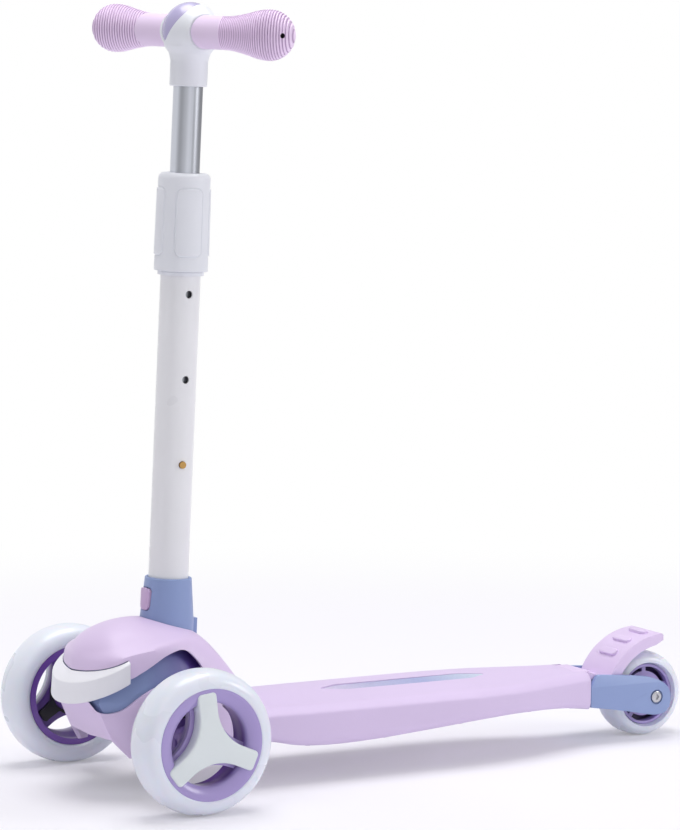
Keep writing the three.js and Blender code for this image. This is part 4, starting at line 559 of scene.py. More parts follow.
slotFinish = {
    "lilac_plastic": "lilac", "blue_plastic": "blue", "purple_plastic": "purple", "white_plastic": "white",
    "grey_plastic": "cap", "black_plastic": "black", "white_tyre": "tyre", "pink_rubber": "grip",
    "black_rubber": "rubber", "white_paint": "tube", "satin_aluminium": "aluminium", "steel": "steel",
    "black_metal": "black", "brass": "brass", "gradient_inlay": "inlay",
}
for part in frame["record"]["subparts"]:
    material = finishes[slotFinish[part["material_slot"]]]
    mesh = nodes[part["node"]].data
    for index in range(len(mesh.materials)):
        mesh.materials[index] = material
for side in ("left", "right"):
    nodes["knuckle_" + side].data.materials[0] = finishes["shade"]  # dark purple, painted shade behind the spokes
print("finishes: %d" % len(finishes))


# Steering front: cover, bumper, truck body, socket and release button

def softened(points, cut, steps=5):
    # A closed run of points of any length, each corner turned into a short curve.
    out = []
    count = len(points)
    for i, corner in enumerate(points):
        before, after = points[i - 1], points[(i + 1) % count]

        def towards(other):
            length = math.dist(corner[:2], other[:2]) + abs(corner[-1] - other[-1])
            share = min(cut / max(length, 1e-6), 0.48)
            return [a + (b - a) * share for a, b in zip(corner, other)]

        start, end = towards(before), towards(after)
        for k in range(steps + 1):
            t = k / steps
            out.append([
                (1 - t) ** 2 * a + 2 * t * (1 - t) * b + t * t * c for a, b, c in zip(start, corner, end)
            ])
    return out


cover = {
    "halfWidth": 54, "bumperHalfWidth": 52, "frontY": -56, "bumperY": -28.4, "topY": 4, "rearY": 108,
    "crownZ": 142.8, "frontZ": 104, "baseZ": 85, "deckZ": 66, "frontPower": 2.18, "wall": 2.6,
    "square": [[0, 2.1], [0.22, 2.15], [0.46, 2.3], [0.71, 2.5], [1, 2.8]],
    "rear": [
        [0, 1, 1], [0.14, 0.985, 1], [0.28, 0.94, 0.99], [0.42, 0.85, 0.97], [0.54, 0.715, 0.945],
        [0.64, 0.55, 0.915], [0.74, 0.36, 0.855], [0.86, 0.14, 0.79], [1, 0.02, 0.67],
    ],
    "archRise": 56,
    "edge": [
        [-0.3, 0.62], [0, 0.623], [0.0865, 0.711], [0.155, 0.8], [0.241, 0.916], [0.327, 0.984],
        [0.37, 0.986], [0.414, 0.939], [0.484, 0.745], [0.523, 0.536], [0.567, 0.25], [0.597, 0.14],
        [0.64, 0.11], [1.05, 0.1],
    ],
    "lowZ": 40,
    "shoulder": [  # place, upright side's top, end of the bend above it, how upright
        [-56, 109, 117, 0], [-50, 112, 120, 0.45], [-38, 116, 124, 0.75], [-11, 121.5, 129, 0.75],
        [16, 126, 134, 0.6], [36, 126, 134, 0.3], [62, 118, 128, 0],
    ],
    "upright": 0.965,  # the upright side's share of the half width
    "lipRise": 12,  # over which the hollow's roof draws away from the lower edge
    "rows": 60, "columns": 48, "steps": 64, "edgeSteps": 90, "bevel": 0.7,
    "cutHalf": 114, "cutLow": 20, "cutPast": 4,  # how far the side view's cut reaches
    "holePlay": 0.6, "holeLow": 117, "holeTop": 350,
    "tabHalf": 6.3, "tabReach": 26.1, "tabLow": 119, "tabTop": 175,  # room for the socket's rear tab
}
bumper = {
    "creaseFront": 95, "creaseEnd": 114, "lowFront": 77.3, "lowEnd": 97.2, "topEnd": 116.4,
    "reach": 39.6, "creaseInset": 1.6, "wall": 2.8, "topReach": 27.3, "steps": 72, "edge": 1.1,
    "innerSet": 1, "innerFront": 1.5, "innerEnd": 3,  # how the wall thins towards the crease inside
}


def coverCrown(y):
    if y < cover["topY"]:
        reach = min((cover["topY"] - y) / (cover["topY"] - cover["frontY"]), 1)
        share = (1 - reach ** cover["frontPower"]) ** (1 / cover["frontPower"])
        return cover["frontZ"] + (cover["crownZ"] - cover["frontZ"]) * share
    share = (y - cover["topY"]) / (cover["rearY"] - cover["topY"])
    return cover["deckZ"] + (cover["crownZ"] - cover["deckZ"]) * eased(cover["rear"], share, 1)


def coverHalf(y):
    if y < cover["bumperY"]:
        reach = (cover["bumperY"] - y) / (cover["bumperY"] - cover["frontY"])
        return cover["bumperHalfWidth"] * math.sqrt(max(1 - reach * reach, 0))
    if y < cover["topY"]:
        t = (y - cover["bumperY"]) / (cover["topY"] - cover["bumperY"])
        more = cover["halfWidth"] - cover["bumperHalfWidth"]
        return cover["bumperHalfWidth"] + more * math.sin(t * math.pi / 2)
    share = (y - cover["topY"]) / (cover["rearY"] - cover["topY"])
    return cover["halfWidth"] * eased(cover["rear"], share, 2)


def coverBase(crown):
    # Height at which a section's curve starts.
    return min(cover["baseZ"], cover["deckZ"] + (crown - cover["deckZ"]) / 4)


def coverSquareness(y):
    return eased(cover["square"], (y - cover["frontY"]) / (cover["rearY"] - cover["frontY"]))


def pushedOut(x, y, z, half):
    # The side stands upright up to a soft shoulder.
    rows = cover["shoulder"]
    if not rows[0][0] < y < rows[-1][0]:
        return x
    low, high, share = (eased(rows, y, column) for column in (1, 2, 3))
    t = min(max((high - z) / (high - low), 0), 1)
    return x + max(half * cover["upright"] - x, 0) * share * t * t * (3 - 2 * t)


def coverSection(y, low):
    # From the lower edge on one side over the crown to the other side.
    crown, half = coverCrown(y), coverHalf(y)
    base = coverBase(crown)
    power = 2 / coverSquareness(y)
    path = [(half, low)] if low < base else []
    steps = cover["steps"]
    first = 0
    if low >= base:
        first = math.asin(min(((low - base) / (crown - base)) ** (1 / power), 1))
    for k in range(steps + 1):
        turn = first + (math.pi / 2 - first) * k / steps
        x, z = half * max(math.cos(turn), 0) ** power, base + (crown - base) * math.sin(turn) ** power
        path.append((pushedOut(x, y, z, half) if 0 < k < steps else x, z))
    lengths = [0]
    for a, b in zip(path, path[1:]):
        lengths.append(lengths[-1] + math.dist(a, b))
    side = []
    count = cover["columns"]
    index = 0
    for k in range(count + 1):
        target = lengths[-1] * k / count
        while index < len(path) - 2 and lengths[index + 1] < target:
            index += 1
        span = max(lengths[index + 1] - lengths[index], 1e-9)
        t = min(max((target - lengths[index]) / span, 0), 1)
        a, b = path[index], path[index + 1]
        side.append((a[0] + (b[0] - a[0]) * t, a[1] + (b[1] - a[1]) * t))
    side[-1] = (0, side[-1][1])
    return [(-x, y, z) for x, z in side] + [(x, y, z) for x, z in side[:-1]][::-1]


def coverBody(inset):
    # The closed dome; with an inset, the hollow inside it.
    top, front, rear = cover["topY"], cover["frontY"], cover["rearY"]
    count = cover["rows"]
    rings = []
    for k in range(2 * count + 1):
        if k < count:
            reach = math.sin((1 - k / count) * math.pi / 2) * 0.99995  # just short of the point in front
            y, placed = top - (top - front) * reach, top - (top - front - inset) * reach
        else:
            y = top + (rear - top) * (k - count) / count
            placed = y
        half, low = coverHalf(y), cover["lowZ"]
        narrow = max(half - inset, 2 * thin) / max(half, 2 * thin)
        ring = []
        for x, _, z in coverSection(y, low):
            ring.append((x * narrow, placed, z - inset * min(max((z - low) / cover["lipRise"], 0), 1)))
        rings.append(ring)
    return lofted(rings)


def makeCover():
    # The side view of what is cut away: the bumper's place in front, the arch over the deck behind.
    front, seam, rear = cover["frontY"], cover["bumperY"], cover["rearY"]
    slope = (bumper["topEnd"] - cover["frontZ"]) / bumper["topReach"]
    reach, past = seam - front + 2 * cover["cutPast"], rear + cover["cutPast"]
    below = [(seam - reach, bumper["topEnd"] - slope * reach + gap), (seam, bumper["topEnd"] + gap)]
    for k in range(cover["edgeSteps"] + 1):
        y = seam + (past - seam) * k / cover["edgeSteps"]
        share = (y - seam) / (rear - seam)
        below.append((y, cover["deckZ"] + cover["archRise"] * eased(cover["edge"], share)))
    below += [(past, cover["cutLow"]), (seam - reach, cover["cutLow"])]
    piece = meshObject("topCoverShell", coverBody(0))
    hole = rod("z", socket["lowRadius"] + cover["holePlay"], cover["holeLow"], cover["holeTop"], steps=96)
    half = cover["tabHalf"]
    tab = block((-half, 0, cover["tabLow"]), (half, cover["tabReach"], cover["tabTop"]))
    side = prism(below, "x", -cover["cutHalf"], cover["cutHalf"])
    carved(piece, coverBody(cover["wall"]), side, mapped(hole, upColumn), mapped(tab, upColumn))
    bevelled(piece, cover["bevel"], 3, 40)
    finished(piece, "stem", finishes["lilac"], ["top_cover"], sharp=32)


def domeWidth(y, z):
    crown, half = coverCrown(y), coverHalf(y)
    base, square = coverBase(crown), coverSquareness(y)
    share = min(max((z - base) / (crown - base), 0), 1)
    return pushedOut(half * (1 - share ** square) ** (1 / square), y, z, half)


def domeMeeting(turn):
    # Where the bumper's top meets the dome, going out from the middle at an angle in plan.
    slope = (bumper["topEnd"] - cover["frontZ"]) / bumper["topReach"]
    near, far = 5.0, 60.0  # halved again and again until they meet at the dome
    for _ in range(40):
        middle = (near + far) / 2
        x, y = middle * math.sin(turn), cover["bumperY"] - middle * math.cos(turn)
        line = bumper["topEnd"] - slope * (cover["bumperY"] - y)
        outside = y < cover["frontY"] + 0.001 or abs(x) > domeWidth(y, line)
        near, far = (near, middle) if outside else (middle, far)
    reach = near + gap
    y = cover["bumperY"] - reach * math.cos(turn)
    return reach * math.sin(turn), y, bumper["topEnd"] - slope * (cover["bumperY"] - y)


def makeBumper():
    half, reach, wall = cover["bumperHalfWidth"], bumper["reach"], bumper["wall"]
    section = [
        (half, reach - bumper["creaseInset"], bumper["creaseFront"], bumper["creaseEnd"]),
        (half, reach, bumper["lowFront"], bumper["lowEnd"]),
        (half - wall, reach - wall, bumper["lowFront"], bumper["lowEnd"]),
        (half - wall, reach - wall - bumper["innerSet"], bumper["creaseFront"] - bumper["innerFront"],
         bumper["creaseEnd"] - bumper["innerEnd"]),
    ]
    rings = []
    for k in range(bumper["steps"] + 1):
        turn = (k / bumper["steps"] - 0.5) * math.pi
        front = math.cos(turn)
        around = [
            (x * math.sin(turn), cover["bumperY"] - out * front, endZ + (frontZ - endZ) * front)
            for x, out, frontZ, endZ in section
        ]
        x, y, z = domeMeeting(turn)
        around = [(x, y, z - wall), (x, y, z)] + around
        rings.append(softened(around, bumper["edge"]))
    piece = meshObject("bumperSkirt", lofted(rings))
    finished(piece, "stem", finishes["bumper"], ["front_bumper"], sharp=50)


nose = {
    "halfWidth": 57, "sideY": 0, "lowZ": 35, "highZ": 100, "frontY": -62, "bow": 2, "wall": 3,
    "rearY": 67, "lipZ": 49, "keelZ": 47.5, "lipHalfWidth": 22, "archHalfWidth": 17, "archTopZ": 87,
    "corner": [[0, 0.85, 0.435], [0.215, 0.685, 0.62], [0.575, 0.66, 0.8], [1, 0.58, 0.99]],
    "flank": [[0, 0], [0.3, 0.2], [0.6, 0.45], [0.85, 0.72], [1, 1]],
    "edge": [
        [-0.16, 0.95], [0, 0.85], [0.045, 0.745], [0.075, 0.655], [0.1, 0.585], [0.15, 0.568],
        [0.185, 0.579], [0.22, 0.6], [0.255, 0.637], [0.29, 0.69], [0.33, 0.755], [0.39, 0.835],
        [0.46, 0.9], [0.56, 0.955], [0.66, 0.96], [0.76, 0.88], [0.86, 0.74], [0.94, 0.58], [1, 0.467],
        [1.06, 0.455],
    ],
    "frontSteps": 9, "softShare": 0.09, "rings": 24, "bevel": 0.7,
    "edgeRearY": 62, "cutHalf": 114, "cutRearY": 124, "cutTopZ": 104, "cutLowZ": 33, "hollowSpread": 2,
    "axleRoomRearY": 33.5, "axleRoomRise": 7,
}


def nosePlan(z, inset):
    # Half of the plan, from the middle of the front to the side.
    height = (z - nose["lowZ"]) / (nose["highZ"] - nose["lowZ"])
    cornerX = nose["halfWidth"] * eased(nose["corner"], height, 1) - inset / 2
    cornerY = nose["frontY"] * eased(nose["corner"], height, 2) + inset
    side = nose["halfWidth"] - inset
    front = []
    for k in range(nose["frontSteps"]):
        share = k / nose["frontSteps"]
        front.append((cornerX * share, cornerY - nose["bow"] * (1 - share ** 4)))
    wide, deep = side - cornerX, nose["sideY"] - cornerY
    flank = [(cornerX + wide * out, cornerY + deep * back, 0) for out, back in nose["flank"]]
    curve = splineThrough(flank, 8)
    first = (cornerX - wide * nose["softShare"], cornerY + 0.15)
    return front[:-1] + [first] + [(x, y) for x, y, _ in curve[1:]]


def closedPlan(half, rearY, rearShare=1, steps=8):
    side = half[-1][0]
    right = list(half)
    for k in range(1, steps + 1):
        y = rearY * k / steps
        t = min(max((k / steps - 0.4) / 0.4, 0), 1)
        right.append((side * (1 + (rearShare - 1) * t * t * (3 - 2 * t)), y))
    return right + [(-x, y) for x, y in right[1:]][::-1]


def makeNose():
    def body(inset, rearY, spread):
        rings = []
        for k in range(nose["rings"] + 1):
            share = k / nose["rings"]
            z = nose["lowZ"] + share * (nose["highZ"] - nose["lowZ"])
            placed = z - spread + 2 * spread * share
            rings.append([(x, y, placed) for x, y in closedPlan(nosePlan(z, inset), rearY)])
        return lofted(rings)

    length, rise = nose["edgeRearY"] - nose["frontY"], nose["highZ"] - nose["lowZ"]
    top, rear, low, wide = nose["cutTopZ"], nose["cutRearY"], nose["cutLowZ"], nose["cutHalf"]
    corners = [(nose["frontY"] + a * length, nose["lowZ"] + b * rise, 0) for a, b in nose["edge"]]
    edge = splineThrough(corners, 5)
    above = [(y, z) for y, z, _ in edge] + [(rear, edge[-1][1]), (rear, top), (edge[0][0], top)]
    lipX, lowX = (nosePlan(nose[key], 0)[8][0] for key in ("lipZ", "lowZ"))
    lipHalf = splineThrough([
        (0, nose["keelZ"], 0), (nose["lipHalfWidth"] / 2, (nose["keelZ"] + nose["lipZ"]) / 2, 0),
        (nose["lipHalfWidth"], nose["lipZ"], 0), (lipX, nose["lipZ"], 0),
    ], 6)
    lip = [(x, z) for x, z, _ in lipHalf] + [(lowX, low), (-lowX, low)]
    lip += [(-x, z) for x, z, _ in lipHalf[1:]][::-1]
    half, archTop = nose["archHalfWidth"], nose["archTopZ"]
    arch = roundedOutline([(-half, low, 0), (half, low, 0), (half, archTop), (-half, archTop)], half / 2)
    piece = meshObject("noseWall", body(0, nose["rearY"], 0))
    carved(
        piece,
        body(nose["wall"], nose["edgeRearY"], nose["hollowSpread"]),
        prism(above, "x", -wide, wide),
        prism(lip, "y", -rear, nose["sideY"]),
        prism(arch, "x", -wide, wide),
        block((-wide, 0, low), (wide, nose["axleRoomRearY"], frontAxleZ + nose["axleRoomRise"])),
    )
    bevelled(piece, nose["bevel"], 2, 50)
    finished(piece, "deck", finishes["lilac"], (), sharp=35)


truck = {
    "gap": 3.8, "lowZ": 58, "skirtZ": 80, "topZ": 121.5, "rearY": 61, "rearShare": 0.86,
    "rings": [
        [0, 1, 1, 1], [0.32, 0.92, 0.93, 0.96], [0.62, 0.86, 0.78, 0.9], [0.86, 0.77, 0.52, 0.78],
        [1, 0.67, 0.3, 0.66],
    ],
    "ringCount": 20, "bevel": 0.8, "cutLowZ": 56, "cutTopZ": 124, "cutPast": 114,
    "well": (29, 8, 52),  # half width, start and end of the yoke's well
    "beamRoom": (10.3, 14.3), "rodRoom": (18.5, 33.5, 7.5),  # along y, and up from the axle
    "pivotZ": 92, "pivotBore": 4.3, "pivotHead": 7.3, "pivotReach": 122, "socketRoom": (28.5, 115.5, 243),
}


def makeTruck():
    skirt, low = nosePlan(truck["skirtZ"], truck["gap"]), nosePlan(truck["lowZ"], truck["gap"])

    def ringAt(plan, z, side, front, rear):
        scaled = [(x * side, y * front if y < nose["sideY"] else y) for x, y in plan]
        return [(x, y, z) for x, y in closedPlan(scaled, truck["rearY"] * rear, truck["rearShare"])]

    rings = [ringAt(low, truck["lowZ"], 1, 1, 1)]
    rise = truck["topZ"] - truck["skirtZ"]
    for k in range(truck["ringCount"] + 1):
        height = k / truck["ringCount"]
        shares = [eased(truck["rings"], height, column) for column in (1, 2, 3)]
        rings.append(ringAt(skirt, truck["skirtZ"] + rise * height, *shares))
    piece = meshObject("truckShell", lofted(rings))
    wide, cutLow, pivot = nose["halfWidth"], truck["cutLowZ"], (0, truck["pivotZ"])
    wellHalf, wellFront, wellRear = truck["well"]
    beamHalf, beamRise = truck["beamRoom"]
    rodFront, rodRear, rodRise = truck["rodRoom"]
    carved(
        piece,
        block((-wellHalf, wellFront, cutLow), (wellHalf, wellRear, truck["cutTopZ"])),
        block((-wide, -beamHalf, cutLow), (wide, beamHalf, frontAxleZ + beamRise)),
        block((-wide, rodFront, cutLow), (wide, rodRear, frontAxleZ + rodRise)),
        rod("y", truck["pivotBore"], -wide, truck["pivotReach"], pivot),
        rod("y", truck["pivotHead"], -truck["cutPast"], -1, pivot),
        mapped(rod("z", *truck["socketRoom"], steps=64), upColumn),
    )
    bevelled(piece, truck["bevel"], 2, 50)
    finished(piece, "deck", finishes["truck"], ["truck_body"], sharp=35)


socket = {
    "low": 119, "shoulder": 140, "top": 175, "topRadius": 19.6, "lowRadius": 22.6, "flangeRadius": 24.5,
    "flangeTop": 122, "bore": 17, "tabHalf": 6, "tabReach": 25.8, "tabLow": 125, "tabTop": 140.3,
    "tabRoot": 20, "edge": 0.3, "flangeEdge": 0.6, "topEdge": 1.2, "soft": 0.5, "bevel": 0.5,
    "slotHalf": 3.8, "slotDepth": 19.9, "slotLow": 136, "cutLow": 100, "cutTop": 350,
}
button = {
    "middle": 157, "height": 18, "width": 14, "corner": 4, "gap": 0.7, "face": 22.7, "back": 19.3,
    "bevel": 1.1, "reach": 45,
}


def buttonPrism(grow):
    half, tall = button["width"] / 2 + grow, button["height"] / 2 + grow
    middle = button["middle"]
    outline = roundedOutline(rectangle(-half, middle - tall, half, middle + tall), button["corner"])
    return mapped(prism(outline, "y", -button["reach"], 0), upColumn)


def makeSocket():
    lowRadius, topRadius, top = socket["lowRadius"], socket["topRadius"], socket["top"]
    low, shoulder = socket["low"], socket["shoulder"]
    flange, flangeTop = socket["flangeRadius"], socket["flangeTop"]
    edge, flangeEdge, topEdge, soft = (socket[key] for key in ("edge", "flangeEdge", "topEdge", "soft"))
    taper = (lowRadius - topRadius) / (top - 3 * soft - shoulder)
    profile = [
        (low, socket["bore"]), (low, flange - edge), (low + edge, flange),
        (flangeTop - flangeEdge, flange), (flangeTop, flange - flangeEdge), (flangeTop + 0.4, lowRadius),
        (shoulder - 2, lowRadius), (shoulder, lowRadius - taper), (top - 3, topRadius + 1.5 * taper),
    ]
    for k in range(7):
        turn = math.pi / 2 * k / 6
        inward = topEdge * (1 - math.cos(turn))
        profile.append((top - topEdge * (1 - math.sin(turn)), topRadius - inward))
    profile += [(top, socket["bore"] + soft), (top - soft, socket["bore"])]
    half, slot, middle = socket["tabHalf"], socket["slotHalf"], button["middle"]
    piece = meshObject("socketSleeve", mapped(revolved(profile, "z", 144), upColumn))
    tab = block((-half, socket["tabRoot"], socket["tabLow"]), (half, socket["tabReach"], socket["tabTop"]))
    carved(piece, mapped(tab, upColumn), operation="UNION")
    carved(
        piece,
        buttonPrism(button["gap"]),
        mapped(block((-slot, -socket["slotDepth"], socket["slotLow"]), (slot, 0, middle)), upColumn),
        mapped(rod("z", socket["bore"], socket["cutLow"], socket["cutTop"], steps=144), upColumn),
    )
    bevelled(piece, socket["bevel"], 2, 50)
    finished(piece, "stem", finishes["blue"], ["stem_socket"], sharp=35)


def makeButton():
    piece = meshObject("releasePad", buttonPrism(0))
    low, high = button["middle"] - button["height"], button["middle"] + button["height"]
    face, back = button["face"], button["back"]
    shell = revolved([(low, back), (low, face), (high, face), (high, back)], "z", 128)
    carved(piece, mapped(shell, upColumn), operation="INTERSECT")
    bevelled(piece, button["bevel"], 4, 50)
    finished(piece, "release", finishes["button"], ["release_button"], sharp=60)


makeCover()
makeBumper()
makeNose()
makeTruck()
makeSocket()
makeButton()
print("front: cover, bumper, nose, truck body, socket, release button")


# Wheels: tyres, hubs, star caps

wheel = {
    "radius": 60, "width": 37, "seat": 43, "side": 46.4, "bead": 15, "power": 2.6, "opening": 34.5,
    "barrel": 37.4, "cove": 4, "coveOut": 1.7, "coveIn": 1.25, "coveSteps": 6, "lipEdge": 1.1,
    "spokeFront": 8, "spokeDepth": 8, "spokeMargin": 3, "spokeEdge": 0.7, "bossRadius": 15, "bossBack": 13,
    "bore": 8, "boreHalf": 26, "bearing": 11.3, "bearingDepth": 7.3,
    "starHalf": 8.4, "starTip": 43, "starCorner": 3.5, "starFillet": 38, "phase": 97,
    "capFace": 20, "capBack": 6, "capWall": 2.2, "capEdge": 1.5, "capRise": 1.1, "clearRadius": 92,
}


def tyreShape(look, centre):
    # Upright sides and a round tread, which is scaled so that it touches the ground.
    radius, seat, side, bead = (look[key] for key in ("radius", "seat", "side", "bead"))
    half = look["width"] / 2
    scale = centre[2] / radius
    flank = (bead + (half - bead) * 0.2, seat + 0.4)
    profile = [(-bead, seat), (-flank[0], flank[1])]
    steps = 40
    for k in range(steps + 1):
        turn = (k / steps - 0.5) * math.pi
        out = half * math.copysign(abs(math.sin(turn)) ** (2 / look["power"]), math.sin(turn))
        profile.append((out, side + (radius - side) * max(math.cos(turn), 0) ** (2 / look["power"])))
    profile += [flank, (bead, seat)]
    shape = revolved([(x, r * (scale if r > side else 1)) for x, r in profile], "x", 160)
    return moved(shape, centre)


def star(half, tip, corner, fillet, steps=14):
    corners = []
    for arm in range(3):
        turn = math.radians(wheel["phase"] + arm * 120)
        outward, across = (math.cos(turn), math.sin(turn)), (-math.sin(turn), math.cos(turn))

        def at(out, side, radius):
            return (outward[0] * out + across[0] * side, outward[1] * out + across[1] * side, radius)

        corners.append(at(half / math.tan(math.radians(60)), -half, fillet))
        corners.append(at(tip, -half, corner))
        corners.append(at(tip, half, corner))
    return roundedOutline(corners, 0, steps)


def makeRim(placed):
    face, lip, cove, bead = wheel["width"] / 2, wheel["side"] - gap, wheel["cove"], wheel["bead"]
    seat, barrel, opening = wheel["seat"] - gap, wheel["barrel"], wheel["opening"]
    webBack, steps = wheel["spokeFront"] - wheel["spokeDepth"], wheel["coveSteps"]
    coveTop = lip - wheel["lipEdge"]
    rim = [(-bead, barrel), (-bead, seat), (bead + gap, seat)]
    rim += [(face - 0.2, lip - 0.2), (face + 0.3, lip - 0.5)]
    for k in range(steps + 1):  # the coved face between the lip and the opening
        t = k / steps
        place = face + 0.5 - (cove + 0.4) * t ** wheel["coveOut"]
        rim.append((place, coveTop - (coveTop - opening) * (1 - (1 - t) ** wheel["coveIn"])))
    rim += [(face - cove - 0.8, opening - 0.25), (webBack, opening), (webBack - cove, barrel)]
    return placed(revolved(rim, "x", 144))


def makeFrontWheel(side, sign):
    body = "wheel_" + side
    centre = (sign * wheelX, 0, frontAxleZ)

    def placed(shape):
        return moved(shape if sign > 0 else mirrored(shape), centre)

    tyre = meshObject("tyreTread_" + side, tyreShape(wheel, centre))
    finished(tyre, body, finishes["tyre"], ["tyre_" + side], sharp=60)
    hub = meshObject("hubRim_" + side, makeRim(placed))
    finished(hub, body, finishes["hub"], (), sharp=38)

    half, tip, corner, fillet = (wheel[key] for key in ("starHalf", "starTip", "starCorner", "starFillet"))
    back, front, cove = wheel["bossBack"], wheel["spokeFront"], wheel["cove"]
    arms = star(half + wheel["spokeMargin"], wheel["seat"] - cove, corner, fillet)
    web = meshObject("hubSpokes_" + side, placed(prism(arms, "x", front - wheel["spokeDepth"], front)))
    carved(web, placed(rod("x", wheel["bossRadius"], -back, front, steps=64)), operation="UNION")
    bearing, depth = wheel["bearing"], wheel["bearingDepth"]
    carved(
        web,
        placed(rod("x", wheel["bore"], -wheel["boreHalf"], wheel["boreHalf"], steps=48)),
        placed(rod("x", bearing, -back - overrun, -back + depth, steps=64)),
        placed(rod("x", bearing, front - depth, front + overrun, steps=64)),
    )
    bevelled(web, wheel["spokeEdge"], 2, 40)
    finished(web, body, finishes["spokes"], ["hub_" + side], sharp=35)

    wall, out = wheel["capWall"], wheel["capFace"]
    outline = star(half, tip, corner, fillet)
    cap = meshObject("starCap_" + side, placed(prism(outline, "x", front + gap, out)))
    bevelled(cap, wheel["capEdge"], 5, 50)
    outline = star(half - wall, tip - wall, corner / 2, fillet + wall)
    inner = prism(outline, "x", wheel["capBack"], out - wall)
    face, lip, opening = wheel["width"] / 2, wheel["side"] - gap, wheel["opening"]
    past, clear = face + wheel["capRise"], wheel["clearRadius"]
    rimRoom = [  # what the rim's cove leaves of the arms' tips
        (0, opening - gap), (0, clear), (past, clear), (past, lip - 1),
        (face - 0.7, (lip + opening) / 2), (face - cove + gap, opening - gap),
    ]
    carved(cap, placed(inner), placed(revolved(rimRoom, "x", 144)))
    finished(cap, body, finishes["cap"], ["hub_cap_" + side], sharp=35)


rear = {
    "radius": 38, "width": 33, "seat": 27.3, "side": 29, "bead": 12.6, "power": 2.6, "rim": 27,
    "rimEdge": 0.7, "windowOuter": 24.4, "windowInner": 20, "web": 9, "boss": 14, "bossHalf": 20.4,
    "bore": 8, "boreHalf": 42, "bearing": 11.3, "bearingDepth": 7.3, "spokes": 5, "spokeWidth": 4,
    "spokeSink": 3, "spokeOverlap": 1, "disc": 1.5, "discOverlap": 0.6, "edge": 0.5,
}


def makeRearWheel():
    centre = (0, rearAxleY, rearAxleZ)
    tyre = meshObject("rearTread", tyreShape(rear, centre))
    finished(tyre, "rear_wheel", finishes["tyre"], ["rear_tyre"], sharp=60)

    bead, outer, inner, web = rear["bead"], rear["windowOuter"], rear["windowInner"], rear["web"]
    corners = [(-bead, outer), (-bead, rear["rim"]), (bead, rear["rim"]), (bead, outer)]
    rim = softened(corners, rear["rimEdge"])
    hub = meshObject("rearRim", moved(revolved([tuple(p) for p in rim], "x", 128), centre))
    finished(hub, "rear_wheel", finishes["rearHub"], (), sharp=50)

    core = meshObject("rearCore", moved(rod("x", inner, -web, web, steps=96), centre))
    wide, half = rear["spokeWidth"] / 2, rear["bossHalf"]
    bar = block((-web, -wide, inner - rear["spokeSink"]), (web, wide, outer + rear["spokeOverlap"]))

    def turned(turn):
        cosine, sine = math.cos(turn), math.sin(turn)
        return mapped(bar, lambda p: (p[0], p[1] * cosine - p[2] * sine, p[1] * sine + p[2] * cosine))

    tools = [rod("x", rear["boss"], -half, half, steps=72)]
    tools += [turned(2 * math.pi * k / rear["spokes"]) for k in range(rear["spokes"])]
    tools.append(rod("x", outer + rear["discOverlap"], -rear["disc"], rear["disc"], steps=96))
    carved(core, *[moved(shape, centre) for shape in tools], operation="UNION")
    bearing, depth = rear["bearing"], rear["bearingDepth"]
    carved(
        core,
        moved(rod("x", rear["bore"], -rear["boreHalf"], rear["boreHalf"], steps=48), centre),
        moved(rod("x", bearing, half - depth, half + overrun, steps=64), centre),
        moved(rod("x", bearing, -half - overrun, -half + depth, steps=64), centre),
    )
    bevelled(core, rear["edge"], 2, 40)
    finished(core, "rear_wheel", finishes["rearHub"], ["rear_hub"], sharp=35)


makeFrontWheel("left", 1)
makeFrontWheel("right", -1)
makeRearWheel()
print("wheels: front left, front right, rear")


# Column: tubes, bush, clamp collar, handle head, insert and grips

column = {
    "tubeRadius": 16.7, "tubeWall": 1.5, "tubeLow": 121, "tubeTop": 498, "hole": 3.2, "lowestHole": 270.2,
    "holeSpacing": 70.6, "holes": 3, "latchHole": 3.6, "edge": 0.3, "drill": 40,
    "innerRadius": 12.25, "innerWall": 1.5, "innerLow": 244, "innerStop": 9.8, "innerHole": 3.3,
    "innerDrill": 30,
}
bush = {"low": 426.6, "flange": 3, "flangeRadius": 19.2, "radius": 18.4, "top": 504, "edge": 0.5}
collar = {
    "low": 430, "top": 511, "lowRadius": 22.4, "topRadius": 21.6, "edge": 5, "lowEdge": 0.8, "panels": 4,
    "panelHeight": 55, "panelDegrees": 58, "proud": 0.7, "corner": 5, "phase": 77, "slope": 0.7,
    "lineHalf": 0.75, "lineDepth": 0.7, "rows": 130, "crownSteps": 12, "steps": 336,
}


def tube(low, top, radius, wall, steps):
    corners = [(low, radius - wall), (low, radius), (top, radius), (top, radius - wall)]
    profile = softened(corners, column["edge"], 3)
    return mapped(revolved([tuple(p) for p in profile], "z", steps), upColumn)


def drilled(axis, radius, start, end, height):
    return mapped(rod(axis, radius, start, end, (0, height), 40), upColumn)


